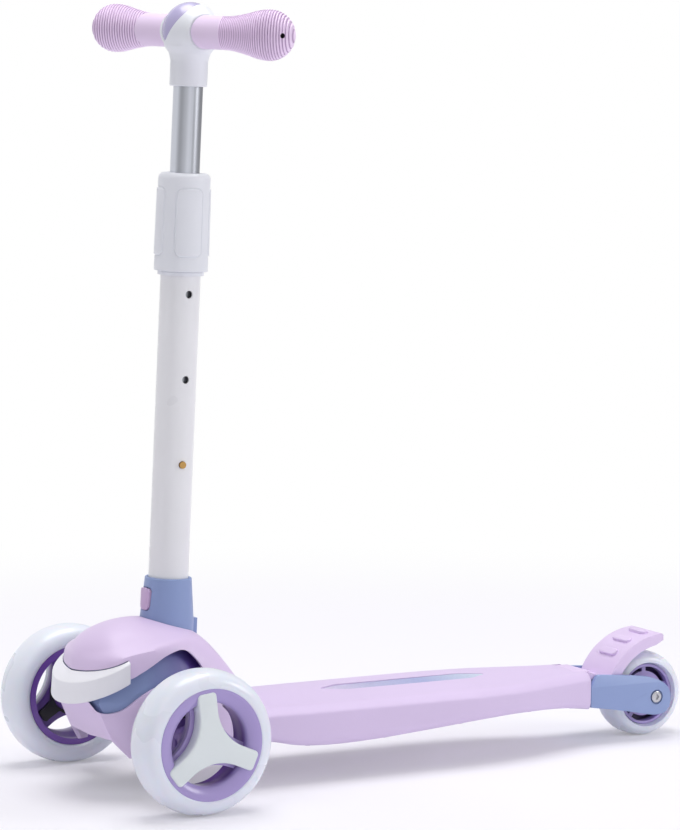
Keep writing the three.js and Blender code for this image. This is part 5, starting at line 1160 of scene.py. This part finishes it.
def makeTubes():
    radius, wall, reach = column["tubeRadius"], column["tubeWall"], column["drill"]
    outer = meshObject("outerColumn", tube(column["tubeLow"], column["tubeTop"], radius, wall, 160))
    heights = [column["lowestHole"] + k * column["holeSpacing"] for k in range(column["holes"])]
    holes = [drilled("x", column["hole"], 0, reach, height) for height in heights]
    carved(outer, *holes, drilled("y", column["latchHole"], -reach, 0, button["middle"]))
    finished(outer, "column", finishes["tube"], ["outer_tube"], sharp=35)

    low, top = column["innerLow"], handleHeight - column["innerStop"]
    inner = meshObject("innerColumn", tube(low, top, column["innerRadius"], column["innerWall"], 128))
    carved(inner, drilled("x", column["innerHole"], 0, column["innerDrill"], column["lowestHole"]))
    finished(inner, "handle", finishes["aluminium"], ["inner_tube"], sharp=35)

    bore, neck = radius + gap, column["innerRadius"] + gap
    low, flangeTop, tubeEnd = bush["low"], bush["low"] + bush["flange"], column["tubeTop"] + gap
    profile = softened([
        (low, bore), (low, bush["flangeRadius"]), (flangeTop, bush["flangeRadius"]),
        (flangeTop, bush["radius"]), (bush["top"], bush["radius"]), (bush["top"], neck), (tubeEnd, neck),
        (tubeEnd, bore),
    ], bush["edge"], 3)
    sleeve = meshObject("columnBush", mapped(revolved([tuple(p) for p in profile], "z", 128), upColumn))
    finished(sleeve, "column", finishes["white"], ["tube_bush"], sharp=40)


def panelRise(turn, z):
    # How far the collar stands proud: most inside a raised panel, less than nought in the line round it.
    pitch = 2 * math.pi / collar["panels"]
    phase = math.radians(collar["phase"])
    across = ((turn + math.pi / 2 - phase + pitch / 2) % pitch - pitch / 2) * collar["lowRadius"]
    halfWidth = math.radians(collar["panelDegrees"]) / 2 * collar["lowRadius"]
    up = z - (collar["low"] + collar["top"]) / 2
    corner = collar["corner"]
    outX = max(abs(across) - halfWidth + corner, 0)
    outZ = max(abs(up) - collar["panelHeight"] / 2 + corner, 0)
    distance = corner - math.hypot(outX, outZ)
    t = min(max(distance / collar["slope"] + 0.5, 0), 1)
    line = max(1 - abs(distance + collar["slope"]) / collar["lineHalf"], 0)
    return collar["proud"] * t * t * (3 - 2 * t) - collar["lineDepth"] * line


def makeCollar():
    low, top, edge, lowEdge = collar["low"], collar["top"], collar["edge"], collar["lowEdge"]
    radius, topRadius, rows = collar["lowRadius"], collar["topRadius"], collar["rows"]
    bore, neck, stop = bush["radius"] + gap, column["innerRadius"] + gap, bush["top"] + gap
    profile = [(low, bore), (low, radius - lowEdge), (low + 0.25, radius - 0.25), (low + lowEdge, radius)]
    for k in range(1, rows):
        z = low + lowEdge + (top - edge - low - lowEdge) * k / rows
        profile.append((z, radius + (topRadius - radius) * (z - low) / (top - low)))
    for k in range(collar["crownSteps"] + 1):
        turn = math.pi / 2 * k / collar["crownSteps"]
        profile.append((top - edge + edge * math.sin(turn), topRadius - edge + edge * math.cos(turn)))
    profile += [(top, neck), (stop, neck), (stop, bore)]
    points, faces = revolved(profile, "z", collar["steps"])
    shaped = []
    for x, y, z in points:
        away = math.hypot(x, y)
        if away > topRadius - 1 and low + 1 < z < top - edge + 0.5:
            rise = panelRise(math.atan2(y, x), z)
            x, y = x * (away + rise) / away, y * (away + rise) / away
        shaped.append((x, y, z))
    piece = meshObject("clampSleeve", mapped((shaped, faces), upColumn))
    finished(piece, "collar", finishes["white"], ["clamp_collar"], sharp=50)


head = {
    "radius": 24.8, "halfWidth": 26, "neck": 15.2, "sleeveRadius": 15.6, "sleeveLow": 582, "sleeveTop": 606,
    "flare": [(-3, 0), (3, 1.5), (9, 6)],  # up and out from the sleeve's top, inside the head
    "voxel": 0.7, "smoothing": 9, "trim": 0.02, "cut": 60, "boreLow": -80, "rows": 40,
    "insertHalf": 12.9, "insertInner": 17.5, "insertOuter": 50, "insertEdge": 0.35, "sink": 0.7,
    "tip": -20, "rear": 120, "power": 0.75,  # the insert's ends, in degrees from the front, and fullness
}
handle = {
    "barRadius": 9.5, "barHalf": 140, "inner": 26.6, "neck": 13.9, "bulb": 20.5, "bulbX": 135.5,
    "shares": [[0, 0], [0.13, -0.03], [0.4, 0], [0.53, 0.15], [0.72, 0.5], [0.9, 0.91], [1, 1]],
    "vent": 1.9, "edge": 0.8, "ringEvery": 0.35, "domeSteps": 76, "steps": 192,
    "ribDepth": 0.95, "ribPower": 0.9, "ribFade": 1.5,
}


def atHandle(point):
    return upColumn((point[0], point[1], point[2] + handleHeight))


def bulbRadius(x):
    t = min(abs(x) / head["halfWidth"], 1)
    return head["radius"] + (head["neck"] - head["radius"]) * t * t * (3 - 2 * t)


def lens(grow, inner, outer, steps=48):
    rings = []
    for k in range(steps + 1):
        share = k / steps
        turn = math.radians(head["tip"] + (head["rear"] - head["tip"]) * share)
        half = head["insertHalf"] * math.sin(share * math.pi) ** head["power"] + grow + gap

        def at(x, radius):
            return (x, -radius * math.cos(turn), radius * math.sin(turn))

        rings.append([at(-half, inner), at(half, inner), at(half, outer), at(-half, outer)])
    return lofted(rings)


def bulbSolid(sink, steps=128):
    half, rows = head["halfWidth"], head["rows"]
    profile = [(-half, thin)]
    for k in range(rows + 1):
        x = half * (2 * k / rows - 1)
        profile.append((x, bulbRadius(x) - sink))
    profile.append((half, thin))
    return revolved(profile, "x", steps)


def makeHead():
    low, top = head["sleeveLow"] - handleHeight, head["sleeveTop"] - handleHeight
    radius, half, cut, trim = head["sleeveRadius"], head["halfWidth"], head["cut"], head["trim"]
    flare = [(top + up, radius + out) for up, out in head["flare"]]
    sleeve = revolved([(low, thin), (low, radius), *flare, (0, thin)], "z", 96)
    piece = meshObject("handleHub", mapped(bulbSolid(0), atHandle))
    carved(piece, mapped(sleeve, atHandle), operation="UNION")
    moulded(piece, head["voxel"], head["smoothing"])
    tools = [
        block((-cut, -cut, -cut), (cut, cut, low + trim)),
        block((half - trim, -cut, -cut), (cut, cut, cut)),
        block((-cut, -cut, -cut), (-half + trim, cut, cut)),
        rod("x", handle["barRadius"] + gap, -cut, cut, steps=64),
        rod("z", column["innerRadius"] + gap, head["boreLow"], 0, steps=64),
        lens(gap, head["insertInner"] - gap, head["insertOuter"]),
    ]
    carved(piece, *[mapped(tool, atHandle) for tool in tools])
    finished(piece, "handle", finishes["white"], ["handle_head"], sharp=35)
    plug = meshObject("headLens", mapped(lens(0, head["insertInner"], head["insertOuter"]), atHandle))
    carved(plug, mapped(bulbSolid(head["sink"]), atHandle), operation="INTERSECT")
    bevelled(plug, head["insertEdge"], 2, 50)
    finished(plug, "handle", finishes["lens"], ["head_insert"], sharp=35)


def gripGroove(x, y, sign):
    # The ribs stand in upright planes, parallel on both grips and turned to the rear.
    place = x + sign * ribs["turn"] * y
    start = place - ribs["near"] if sign > 0 else x - ribs["far"]
    pitch = ribs["pitch"] if sign > 0 else ribs["farPitch"]
    return min(max(start, 0), 1) * (1 - abs(math.sin(math.pi * place / pitch))) ** handle["ribPower"]


def gripOutline():
    # (place, radius) from the head to the vent in the bulb's end.
    inner, bulb, bulbX = handle["inner"], handle["bulb"], handle["bulbX"]
    out = []
    x = inner + handle["edge"]
    while x < bulbX:
        share = (x - inner) / (bulbX - inner)
        out.append((x, handle["neck"] + (bulb - handle["neck"]) * eased(handle["shares"], share)))
        x += handle["ringEvery"]
    for k in range(1, handle["domeSteps"]):
        turn = math.pi / 2 * k / handle["domeSteps"]
        radius = bulb * math.cos(turn)
        if radius > handle["vent"]:
            out.append((bulbX + bulb * math.sin(turn), radius))
    return out


def makeGrip(side, sign):
    inner, neck, vent, edge = handle["inner"], handle["neck"], handle["vent"], handle["edge"]
    bore, barEnd = handle["barRadius"] + gap, handle["barHalf"] + gap
    tip = handle["bulbX"] + handle["bulb"]
    start = [(inner, bore), (inner, neck - edge), (inner + 0.25, neck - 0.25)]
    outer = gripOutline()
    end = [(tip - 0.1, vent + 0.4), (tip - 0.6, vent), (barEnd, vent), (barEnd, bore)]
    steps = handle["steps"]
    points, faces = revolved(start + outer + end, "x", steps)
    for i, (x, radius) in enumerate(outer):
        before, after = outer[max(i - 1, 0)], outer[min(i + 1, len(outer) - 1)]
        run = math.dist(before, after)
        normal = ((before[1] - after[1]) / run, (after[0] - before[0]) / run)
        fade = min(max((radius - vent) / handle["ribFade"], 0), 1)
        for k in range(steps):
            index = (len(start) + i) * steps + k
            _, y, z = points[index]
            depth = handle["ribDepth"] * gripGroove(x, y, sign) * fade
            shrink = (radius - normal[1] * depth) / radius
            points[index] = (x - normal[0] * depth, y * shrink, z * shrink)
    shape = (points, faces) if sign > 0 else mirrored((points, faces))
    piece = meshObject("gripRubber_" + side, mapped(shape, atHandle))
    finished(piece, "handle", finishes["grip"], ["grip_" + side], sharp=75)


makeTubes()
makeCollar()
makeHead()
makeGrip("left", 1)
makeGrip("right", -1)
print("column: tubes, bush, collar, head, insert, grips")


# Deck board, inlay, rear fork and brake fender

deck = {
    "frontY": 62, "rearY": 436, "half": 59.5, "topHalf": 45, "topZ": 66, "fall": 1.5, "crown": 2.4,
    "crownPower": 2.6, "bevel": 6, "bevelShare": 0.9, "shoulder": 1.4, "shoulderRise": 0.1,
    "bellyZ": 32, "foot": 5, "footRise": 7, "skin": 5, "wall": 3, "ribs": 4, "ribThickness": 3,
    "cellsFrom": 0.09, "cellsTo": 0.94, "cellLowZ": 10, "cutTopZ": 71, "stations": 110,
    "shares": [  # place, half width, half width of the top, underside
        [0, 0.958, 0.9, 1.15], [0.09, 0.966, 0.915, 1.2], [0.175, 0.983, 0.935, 1.02],
        [0.26, 1, 0.965, 0.96], [0.37, 1, 0.99, 0.985], [0.5, 1, 1, 1.08], [0.64, 0.997, 0.994, 1.2],
        [0.75, 0.93, 0.925, 1.25], [0.81, 0.85, 0.835, 1.235], [0.875, 0.725, 0.7, 1.19],
        [0.94, 0.6, 0.57, 1.11], [1, 0.507, 0.48, 1],
    ],
}
inlay = {"frontY": 177, "rearY": 346, "half": 12, "taper": 22, "depth": 1.6, "topZ": 66.961, "edge": 0.4}
fork = {
    "outerX": 30.2, "arm": 5.8, "frontY": 436.6, "reachY": 521, "lowZ": 22, "highZ": 62, "blockRearY": 461,
    "blockTopZ": 51, "recess": 6.5, "recessDepth": 2.4, "boss": 9, "bossHeight": 3.2, "bossSink": 3,
    "bore": 4.3, "boreHalf": 61, "cutY": 1042, "cutZ": 124, "edge": 1,
    "ridgeZ": 51.4, "topLean": 2.9, "facet": 4, "headRadius": 5.2, "shaft": 4, "key": 2.7, "keyDepth": 1.7,
    "outline": [
        [0, 0.3], [0, 0.75], [0.085, 0.98], [0.12, 1], [0.5, 0.925], [0.72, 0.86], [0.88, 0.74],
        [0.97, 0.58], [1, 0.38], [0.985, 0.17], [0.92, 0.03], [0.82, 0], [0.7, 0.03], [0.5, 0.12],
        [0.3, 0.2],
    ],
}
brake = {
    "pinY": 429, "pinZ": 57.5, "pin": 2, "pinHalf": 25, "boreHalf": 48, "hinge": 4.6, "hingeHalf": 19,
    "hingePlay": 0.5, "half": 24, "radius": 49.4, "swell": 6.2, "swellPower": 2.2, "wall": 3, "flange": 9.4,
    "low": 156, "high": 83, "tuck": 4, "tail": 2, "tailRise": 0.3, "edge": 1.45,
    "springHalf": 9, "springFront": 9.2, "springRear": 9.1, "springTop": 4.5,  # room round the pin
    "pads": 3, "padWidth": 25, "padDepth": 7.4, "padCorner": 3.6, "padSink": 1.5, "padHeight": 2.2,
    "padEdge": 1, "padFirst": 129, "padLast": 90.4,
}


def along(start, end, count, first=0):
    # Evenly spread shares of a way, from the first step to the last.
    return [start + (end - start) * k / count for k in range(first, count + 1)]


def deckSide(half, topHalf, top, low):
    # The board's outer side, from the underside up to the bevel.
    foot, rise, share = deck["foot"], deck["footRise"], deck["bevelShare"]
    upright = top - deck["bevel"] - deck["shoulder"]
    out = [(half - foot, low)]
    for turn in along(0, math.pi / 2, 8, 1):
        out.append((half - foot + foot * math.sin(turn), low + rise * (1 - math.cos(turn))))
    out += [(half, z) for z in along(low + rise, upright, 4, 1)]
    start, corner = (half, upright), (half, top - deck["bevel"] + deck["shoulderRise"])
    end = (topHalf + (half - topHalf) * share, top - deck["bevel"] * share * share)
    for t in along(0, 1, 6, 1)[:-1]:
        bend = zip(start, corner, end)
        out.append(tuple((1 - t) ** 2 * a + 2 * t * (1 - t) * b + t * t * c for a, b, c in bend))
    return out


def deckRing(share, inset):
    # A section of the board; with an inset, of the cells hollowed out from below.
    y = deck["frontY"] + (deck["rearY"] - deck["frontY"]) * share
    half = deck["half"] * eased(deck["shares"], share, 1) - inset
    topHalf = deck["topHalf"] * eased(deck["shares"], share, 2) - inset
    top = deck["topZ"] - deck["fall"] * share - (deck["skin"] if inset else 0)
    if inset:
        low, start = deck["cellLowZ"], 1
        right = [(0, low), (half, low), (half, top - deck["bevel"])]
    else:
        low, start = deck["bellyZ"] * eased(deck["shares"], share, 3), deck["bevelShare"]
        right = [(0, low)] + deckSide(half, topHalf, top, low)
    right += [(topHalf + (half - topHalf) * t, top - deck["bevel"] * t * t) for t in along(start, 0, 12)]
    crown, power = deck["crown"], deck["crownPower"]
    right += [(topHalf * t, top + crown * (1 - t ** power)) for t in along(1, 0, 12, 1)]
    full = right + [(-x, z) for x, z in right[1:-1]][::-1]
    return [(x, y, z) for x, z in full]


def inlayOutline(inset):
    half = inlay["half"] - inset
    tip = half / 4
    return roundedOutline([
        (0, inlay["frontY"] + inset, tip), (half, inlay["frontY"] + inlay["taper"], half),
        (half, inlay["rearY"] - inlay["taper"], half), (0, inlay["rearY"] - inset, tip),
        (-half, inlay["rearY"] - inlay["taper"], half), (-half, inlay["frontY"] + inlay["taper"], half),
    ], 0, 10)


def makeDeck():
    piece = meshObject("deckBoard", lofted([deckRing(share, 0) for share in along(0, 1, deck["stations"])]))
    ribs, length = deck["ribs"], deck["rearY"] - deck["frontY"]
    walls = [deck["cellsFrom"]] + [(i + 1) / (ribs + 1) for i in range(ribs)] + [deck["cellsTo"]]
    rib = deck["ribThickness"] / 2 / length
    cells = []
    for i, (a, b) in enumerate(zip(walls, walls[1:])):
        start = a + (rib if i else 0)
        end = b - (rib if i < len(walls) - 2 else 0)
        cells.append(lofted([deckRing(share, deck["wall"]) for share in along(start, end, 12)]))
    carved(piece, *cells)
    half = brake["hingeHalf"] + brake["hingePlay"]
    back = brake["pinY"] - brake["hinge"] - brake["hingePlay"]
    pinHalf, pinPlace = brake["pinHalf"] + gap, (brake["pinY"], brake["pinZ"])
    top, floor = deck["cutTopZ"], inlay["topZ"] - inlay["depth"]
    carved(
        piece,
        block((-half, back, fork["blockTopZ"] - 3), (half, deck["rearY"] + overrun, top)),
        rod("x", brake["pin"] + gap, -pinHalf, pinHalf, pinPlace),
        prism(inlayOutline(-gap), "z", floor - gap, top),
    )
    finished(piece, "deck", finishes["deck"], ["deck"], sharp=33)
    strip = meshObject("deckStrip", prism(inlayOutline(0), "z", floor, inlay["topZ"]))
    bevelled(strip, inlay["edge"], 3, 50)
    finished(strip, "deck", finishes["inlay"], ["deck_inlay"], sharp=50)


def onBothSides(radius, start, end, steps=64):
    # Rods about the rear axle, on one side and mirrored on the other.
    centre = (rearAxleY, rearAxleZ)
    return [rod("x", radius, start, end, centre, steps), rod("x", radius, -end, -start, centre, steps)]


def makeFork():
    length, height = fork["reachY"] - fork["frontY"], fork["highZ"] - fork["lowZ"]
    corners = [(fork["frontY"] + a * length, fork["lowZ"] + b * height) for a, b in fork["outline"]]
    curve = splineThrough([(*p, 0) for p in corners[3:-1]], 8)
    side = corners[:3] + [(y, z) for y, z, _ in curve] + corners[-1:]
    outer, inner, far = fork["outerX"], fork["outerX"] - fork["arm"], fork["cutY"]
    piece = meshObject("forkArms", prism(side, "x", -outer, outer))
    carved(
        piece,
        block((-inner, fork["blockRearY"], 0), (inner, far, fork["cutZ"])),
        block((-inner, 0, fork["blockTopZ"]), (inner, far, fork["cutZ"])),
    )
    bosses = onBothSides(fork["boss"], inner - fork["bossHeight"], inner + fork["bossSink"])
    carved(piece, *bosses, operation="UNION")
    bore = rod("x", fork["bore"], -fork["boreHalf"], fork["boreHalf"], (rearAxleY, rearAxleZ), 40)
    carved(piece, *onBothSides(fork["recess"], outer - fork["recessDepth"], outer + overrun), bore)
    ridge, past, top = fork["ridgeZ"], outer + fork["facet"], fork["highZ"] + fork["facet"]
    slope = [(outer, ridge), (past, ridge), (past, top), (outer - fork["topLean"], top)]
    carved(piece, prism(slope, "y", 0, far), prism([(-x, z) for x, z in slope], "y", 0, far))
    bevelled(piece, fork["edge"], 4, 30)
    finished(piece, "deck", finishes["blue"], ["rear_fork"], sharp=35)


def makeRearBolt():
    # Socket screw through the fork and wheel, its head sunk in the near arm.
    low, top = (corner.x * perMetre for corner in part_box("rear_axle_bolt"))
    seat = fork["outerX"] - fork["recessDepth"]
    radius, shaft, key = fork["headRadius"], fork["shaft"], fork["key"]
    profile = [(low, thin), (low, shaft - 0.5), (low + 0.5, shaft), (seat, shaft), (seat, radius)]
    profile += [(top - 0.7, radius), (top - 0.2, radius - 0.25), (top, radius - 0.8), (top, thin)]
    piece = meshObject("rearScrew", moved(revolved(profile, "x", 72), (0, rearAxleY, rearAxleZ)))
    hexagon = rod("x", key, top - fork["keyDepth"], top + 3, (rearAxleY, rearAxleZ), 6)
    carved(piece, hexagon)
    finished(piece, "deck", finishes["steel"], ["rear_axle_bolt"], sharp=35)


def brakeRadiusAt(degrees):
    share = min(max((brake["low"] - degrees) / (brake["low"] - brake["high"]), 0), 1)
    return brake["radius"] + brake["swell"] * share ** brake["swellPower"]


def brakeArc(depth, start, end, steps=48):
    out = []
    for degrees in along(start, end, steps):
        radius, turn = brakeRadiusAt(degrees) - depth, math.radians(degrees)
        out.append((rearAxleY + radius * math.cos(turn), rearAxleZ + radius * math.sin(turn)))
    return out


def makeFender():
    half, wall, hinge = brake["half"], brake["wall"], brake["hinge"]
    pinY, pinZ, tuck = brake["pinY"], brake["pinZ"], brake["tuck"]
    tongueTop = deck["topZ"] - deck["fall"]
    outline = brakeArc(0, brake["low"], brake["high"])
    tailY, tailZ = outline[-1][0] + brake["tail"], outline[-1][1] + brake["tailRise"]
    outline += [(tailY, tailZ), (tailY + wall / 2, tailZ - wall / 2), (tailY + wall / 2, tailZ - 2 * wall)]
    outline += brakeArc(brake["flange"], brake["high"] + tuck, brake["low"] - tuck)
    back = fork["frontY"] + brake["hingePlay"]
    outline += [(back, pinZ - hinge / 2 + wall), (back, tongueTop)]
    piece = meshObject("fenderShell", prism(outline, "x", -half, half))
    inner = brakeArc(wall, brake["low"], brake["high"])
    rearY = inner[-1][0] + brake["tail"] + 2 * wall
    inner += [(rearY, inner[-1][1] + brake["tailRise"]), (rearY, 0), (inner[0][0], 0)]
    carved(piece, prism(inner, "x", -half + wall, half - wall))
    rootY = fork["frontY"] + 2 * wall
    tongue = [
        (pinY, pinZ - hinge), (rootY, pinZ - wall / 2), (rootY, tongueTop), (pinY - wall, tongueTop),
        (pinY - hinge, pinZ),
    ]
    carved(piece, prism(tongue, "x", -brake["hingeHalf"], brake["hingeHalf"]), operation="UNION")
    room = brake["springHalf"]
    carved(
        piece,
        rod("x", brake["pin"] + gap, -brake["boreHalf"], brake["boreHalf"], (pinY, pinZ)),
        block((-room, pinY - brake["springFront"], pinZ - brake["springFront"]),
              (room, pinY + brake["springRear"], pinZ + brake["springTop"])),
    )
    bevelled(piece, brake["edge"], 5, 50)
    finished(piece, "brake", finishes["lilac"], ["brake_fender"], sharp=35)


def makePads():
    width, depth = brake["padWidth"] / 2, brake["padDepth"] / 2
    outline = roundedOutline(rectangle(-width, -depth, width, depth), brake["padCorner"])
    for k, degrees in enumerate(along(brake["padFirst"], brake["padLast"], brake["pads"] - 1)):
        lean = math.radians(degrees - 90)
        cosine, sine, radius = math.cos(lean), math.sin(lean), brakeRadiusAt(degrees)

        def onFender(p):
            y, z = p[1], p[2] + radius
            return (p[0], rearAxleY + y * cosine - z * sine, rearAxleZ + y * sine + z * cosine)

        shape = mapped(prism(outline, "z", -brake["padSink"], brake["padHeight"]), onFender)
        pad = meshObject("brakePad_%d" % (k + 1), shape)
        bevelled(pad, brake["padEdge"], 4, 50)
        finished(pad, "brake", finishes["lilac"], (), sharp=60)


makeDeck()
makeFork()
makeRearBolt()
makeFender()
makePads()
print("rear: deck board, strip, fork, fender")


# Camera, floor and light

camera = {
    "place": (2.96521, -1.51167, 0.69656),  # from the ground under the front axle, in metres
    "yaw": 60.06834,
    "pitch": -6.50727,
    "roll": 0.51083,
    "focalPixels": 4059.04,
    "axisPixel": (339.146, 409.931),
    "framePixels": (680, 830),
    "sensorWidth": 36,
    "farClip": 20,
}


def linked(name, data):
    made = bpy.data.objects.new(name, data)
    bpy.context.scene.collection.objects.link(made)
    return made


def makeCamera(settings):
    yaw, pitch, roll = (math.radians(settings[key]) for key in ("yaw", "pitch", "roll"))
    forward = Vector((-math.sin(yaw) * math.cos(pitch), math.cos(yaw) * math.cos(pitch), math.sin(pitch)))
    right = Vector((math.cos(yaw), math.sin(yaw), 0))
    up = right.cross(forward)
    rolledRight = math.cos(roll) * right + math.sin(roll) * up
    rolledUp = -math.sin(roll) * right + math.cos(roll) * up
    turn = Matrix((rolledRight, rolledUp, -forward)).transposed().to_4x4()
    data = bpy.data.cameras.new("camera")
    width, height = settings["framePixels"]
    longSide = max(width, height)
    data.sensor_width = settings["sensorWidth"]
    data.lens = settings["focalPixels"] * data.sensor_width / longSide
    data.shift_x = (width / 2 - settings["axisPixel"][0]) / longSide
    data.shift_y = (settings["axisPixel"][1] - height / 2) / longSide
    data.clip_end = settings["farClip"]
    made = linked("camera", data)
    made.matrix_world = Matrix.Translation(Vector(settings["place"]) + Vector((0, frontAxleY, 0))) @ turn
    bpy.context.scene.camera = made


makeCamera(camera)

studio = {
    "floorSize": 14,
    "floorTone": (0.92, 0.905, 0.96),
    "floorRoughness": 0.7,
    "glowTone": (0.94, 0.92, 1),
    "floorGlow": 0.28,  # share of the floor that shows plain white to the camera, near the object
    "floorFade": (0.45, 1.3),  # metres from the middle over which that share grows to all of it
    "worldStrength": 0.36,
    "dimPatches": [  # direction, cosines over which it grows, share of the white it takes
        ((0, 1, 0), (0.12, 0.72), 1),
        ((0.42, -0.9, 0.05), (0.84, 0.985), 0.6),
    ],
    "lamps": [  # name, place, aimed at, size, watts
        ("keyLamp", (1.2, -2.2, 2.4), (0, 0, 0.2), 1.8, 13),
        ("fillLamp", (2.2, 2.4, 1.3), (0, 0, 0.25), 1.2, 30),
        ("topLamp", (-0.3, 0.1, 2.8), (0, 0, 0), 2.0, 53),
    ],
}
white = (1, 1, 1, 1)


def grown(tree, value, bounds, low, high):
    # A soft change from low to high while the value crosses the bounds.
    inputs = {"Value": value, "From Min": bounds[0], "From Max": bounds[1], "To Min": low, "To Max": high}
    return added(tree, "MapRange", inputs, interpolation_type="SMOOTHSTEP").outputs["Result"]


def makeFloor(settings):
    # Paper that takes shadows near the object and shows plain white further out.
    half = settings["floorSize"] / 2
    mesh = bpy.data.meshes.new("floor")
    corners = [(x, y, 0) for x, y in rectangle(-half, -half, half, half)]
    mesh.from_pydata(corners, [], [(0, 1, 2, 3)])
    linked("floor", mesh)
    paper = bpy.data.materials.new("floorPaper")
    paper.use_nodes = True
    tree = paper.node_tree
    shader = shaderOf(paper)
    shader.inputs["Base Color"].default_value = settings["floorTone"] + (1,)
    shader.inputs["Roughness"].default_value = settings["floorRoughness"]
    path = added(tree, "LightPath", {}).outputs
    place = added(tree, "TexCoord", {}).outputs["Object"]
    away = added(tree, "VectorMath", {0: place}, operation="LENGTH").outputs["Value"]
    fade = grown(tree, away, settings["floorFade"], settings["floorGlow"], 1)
    glow = added(tree, "Emission", {"Color": mixed(tree, fade, settings["glowTone"] + (1,), white)})
    seen = mathNode(tree, "MAXIMUM", path["Is Camera Ray"], path["Is Glossy Ray"])
    share = mathNode(tree, "MULTIPLY", seen, fade)
    mix = added(tree, "MixShader", {0: share, 1: shader.outputs[0], 2: glow.outputs[0]})
    tree.links.new(mix.outputs[0], tree.nodes["Material Output"].inputs["Surface"])
    mesh.materials.append(paper)


def makeWorld(settings):
    # White to the camera and in mirrors, weaker as a light, with dim parts for bright metal to mirror.
    world = bpy.data.worlds.new("studio")
    world.use_nodes = True
    bpy.context.scene.world = world
    tree = world.node_tree
    background = tree.nodes["Background"].inputs
    background["Color"].default_value = white
    path = added(tree, "LightPath", {}).outputs
    place = added(tree, "TexCoord", {}).outputs["Generated"]
    reflected = path["Is Glossy Ray"]
    for direction, growth, taken in settings["dimPatches"]:
        facing = added(tree, "VectorMath", {0: place, 1: direction}, operation="DOT_PRODUCT")
        clear = grown(tree, facing.outputs["Value"], growth, 1, 1 - taken)
        reflected = mathNode(tree, "MULTIPLY", reflected, clear)
    shown = mathNode(tree, "MAXIMUM", reflected, path["Is Transmission Ray"])
    shown = mathNode(tree, "MAXIMUM", path["Is Camera Ray"], shown)
    more = mathNode(tree, "MULTIPLY", shown, 1 - settings["worldStrength"])
    tree.links.new(mathNode(tree, "ADD", settings["worldStrength"], more), background["Strength"])


def makeLamps(settings):
    for name, place, aim, size, power in settings["lamps"]:
        data = bpy.data.lights.new(name, "AREA")
        data.shape = "DISK"
        data.size = size
        data.energy = power
        lamp = linked(name, data)
        lamp.location = place
        lamp.rotation_euler = (Vector(aim) - Vector(place)).to_track_quat("-Z", "Y").to_euler()


makeFloor(studio)
makeWorld(studio)
makeLamps(studio)
bpy.context.scene.view_settings.view_transform = "Standard"
print("camera and studio ready")
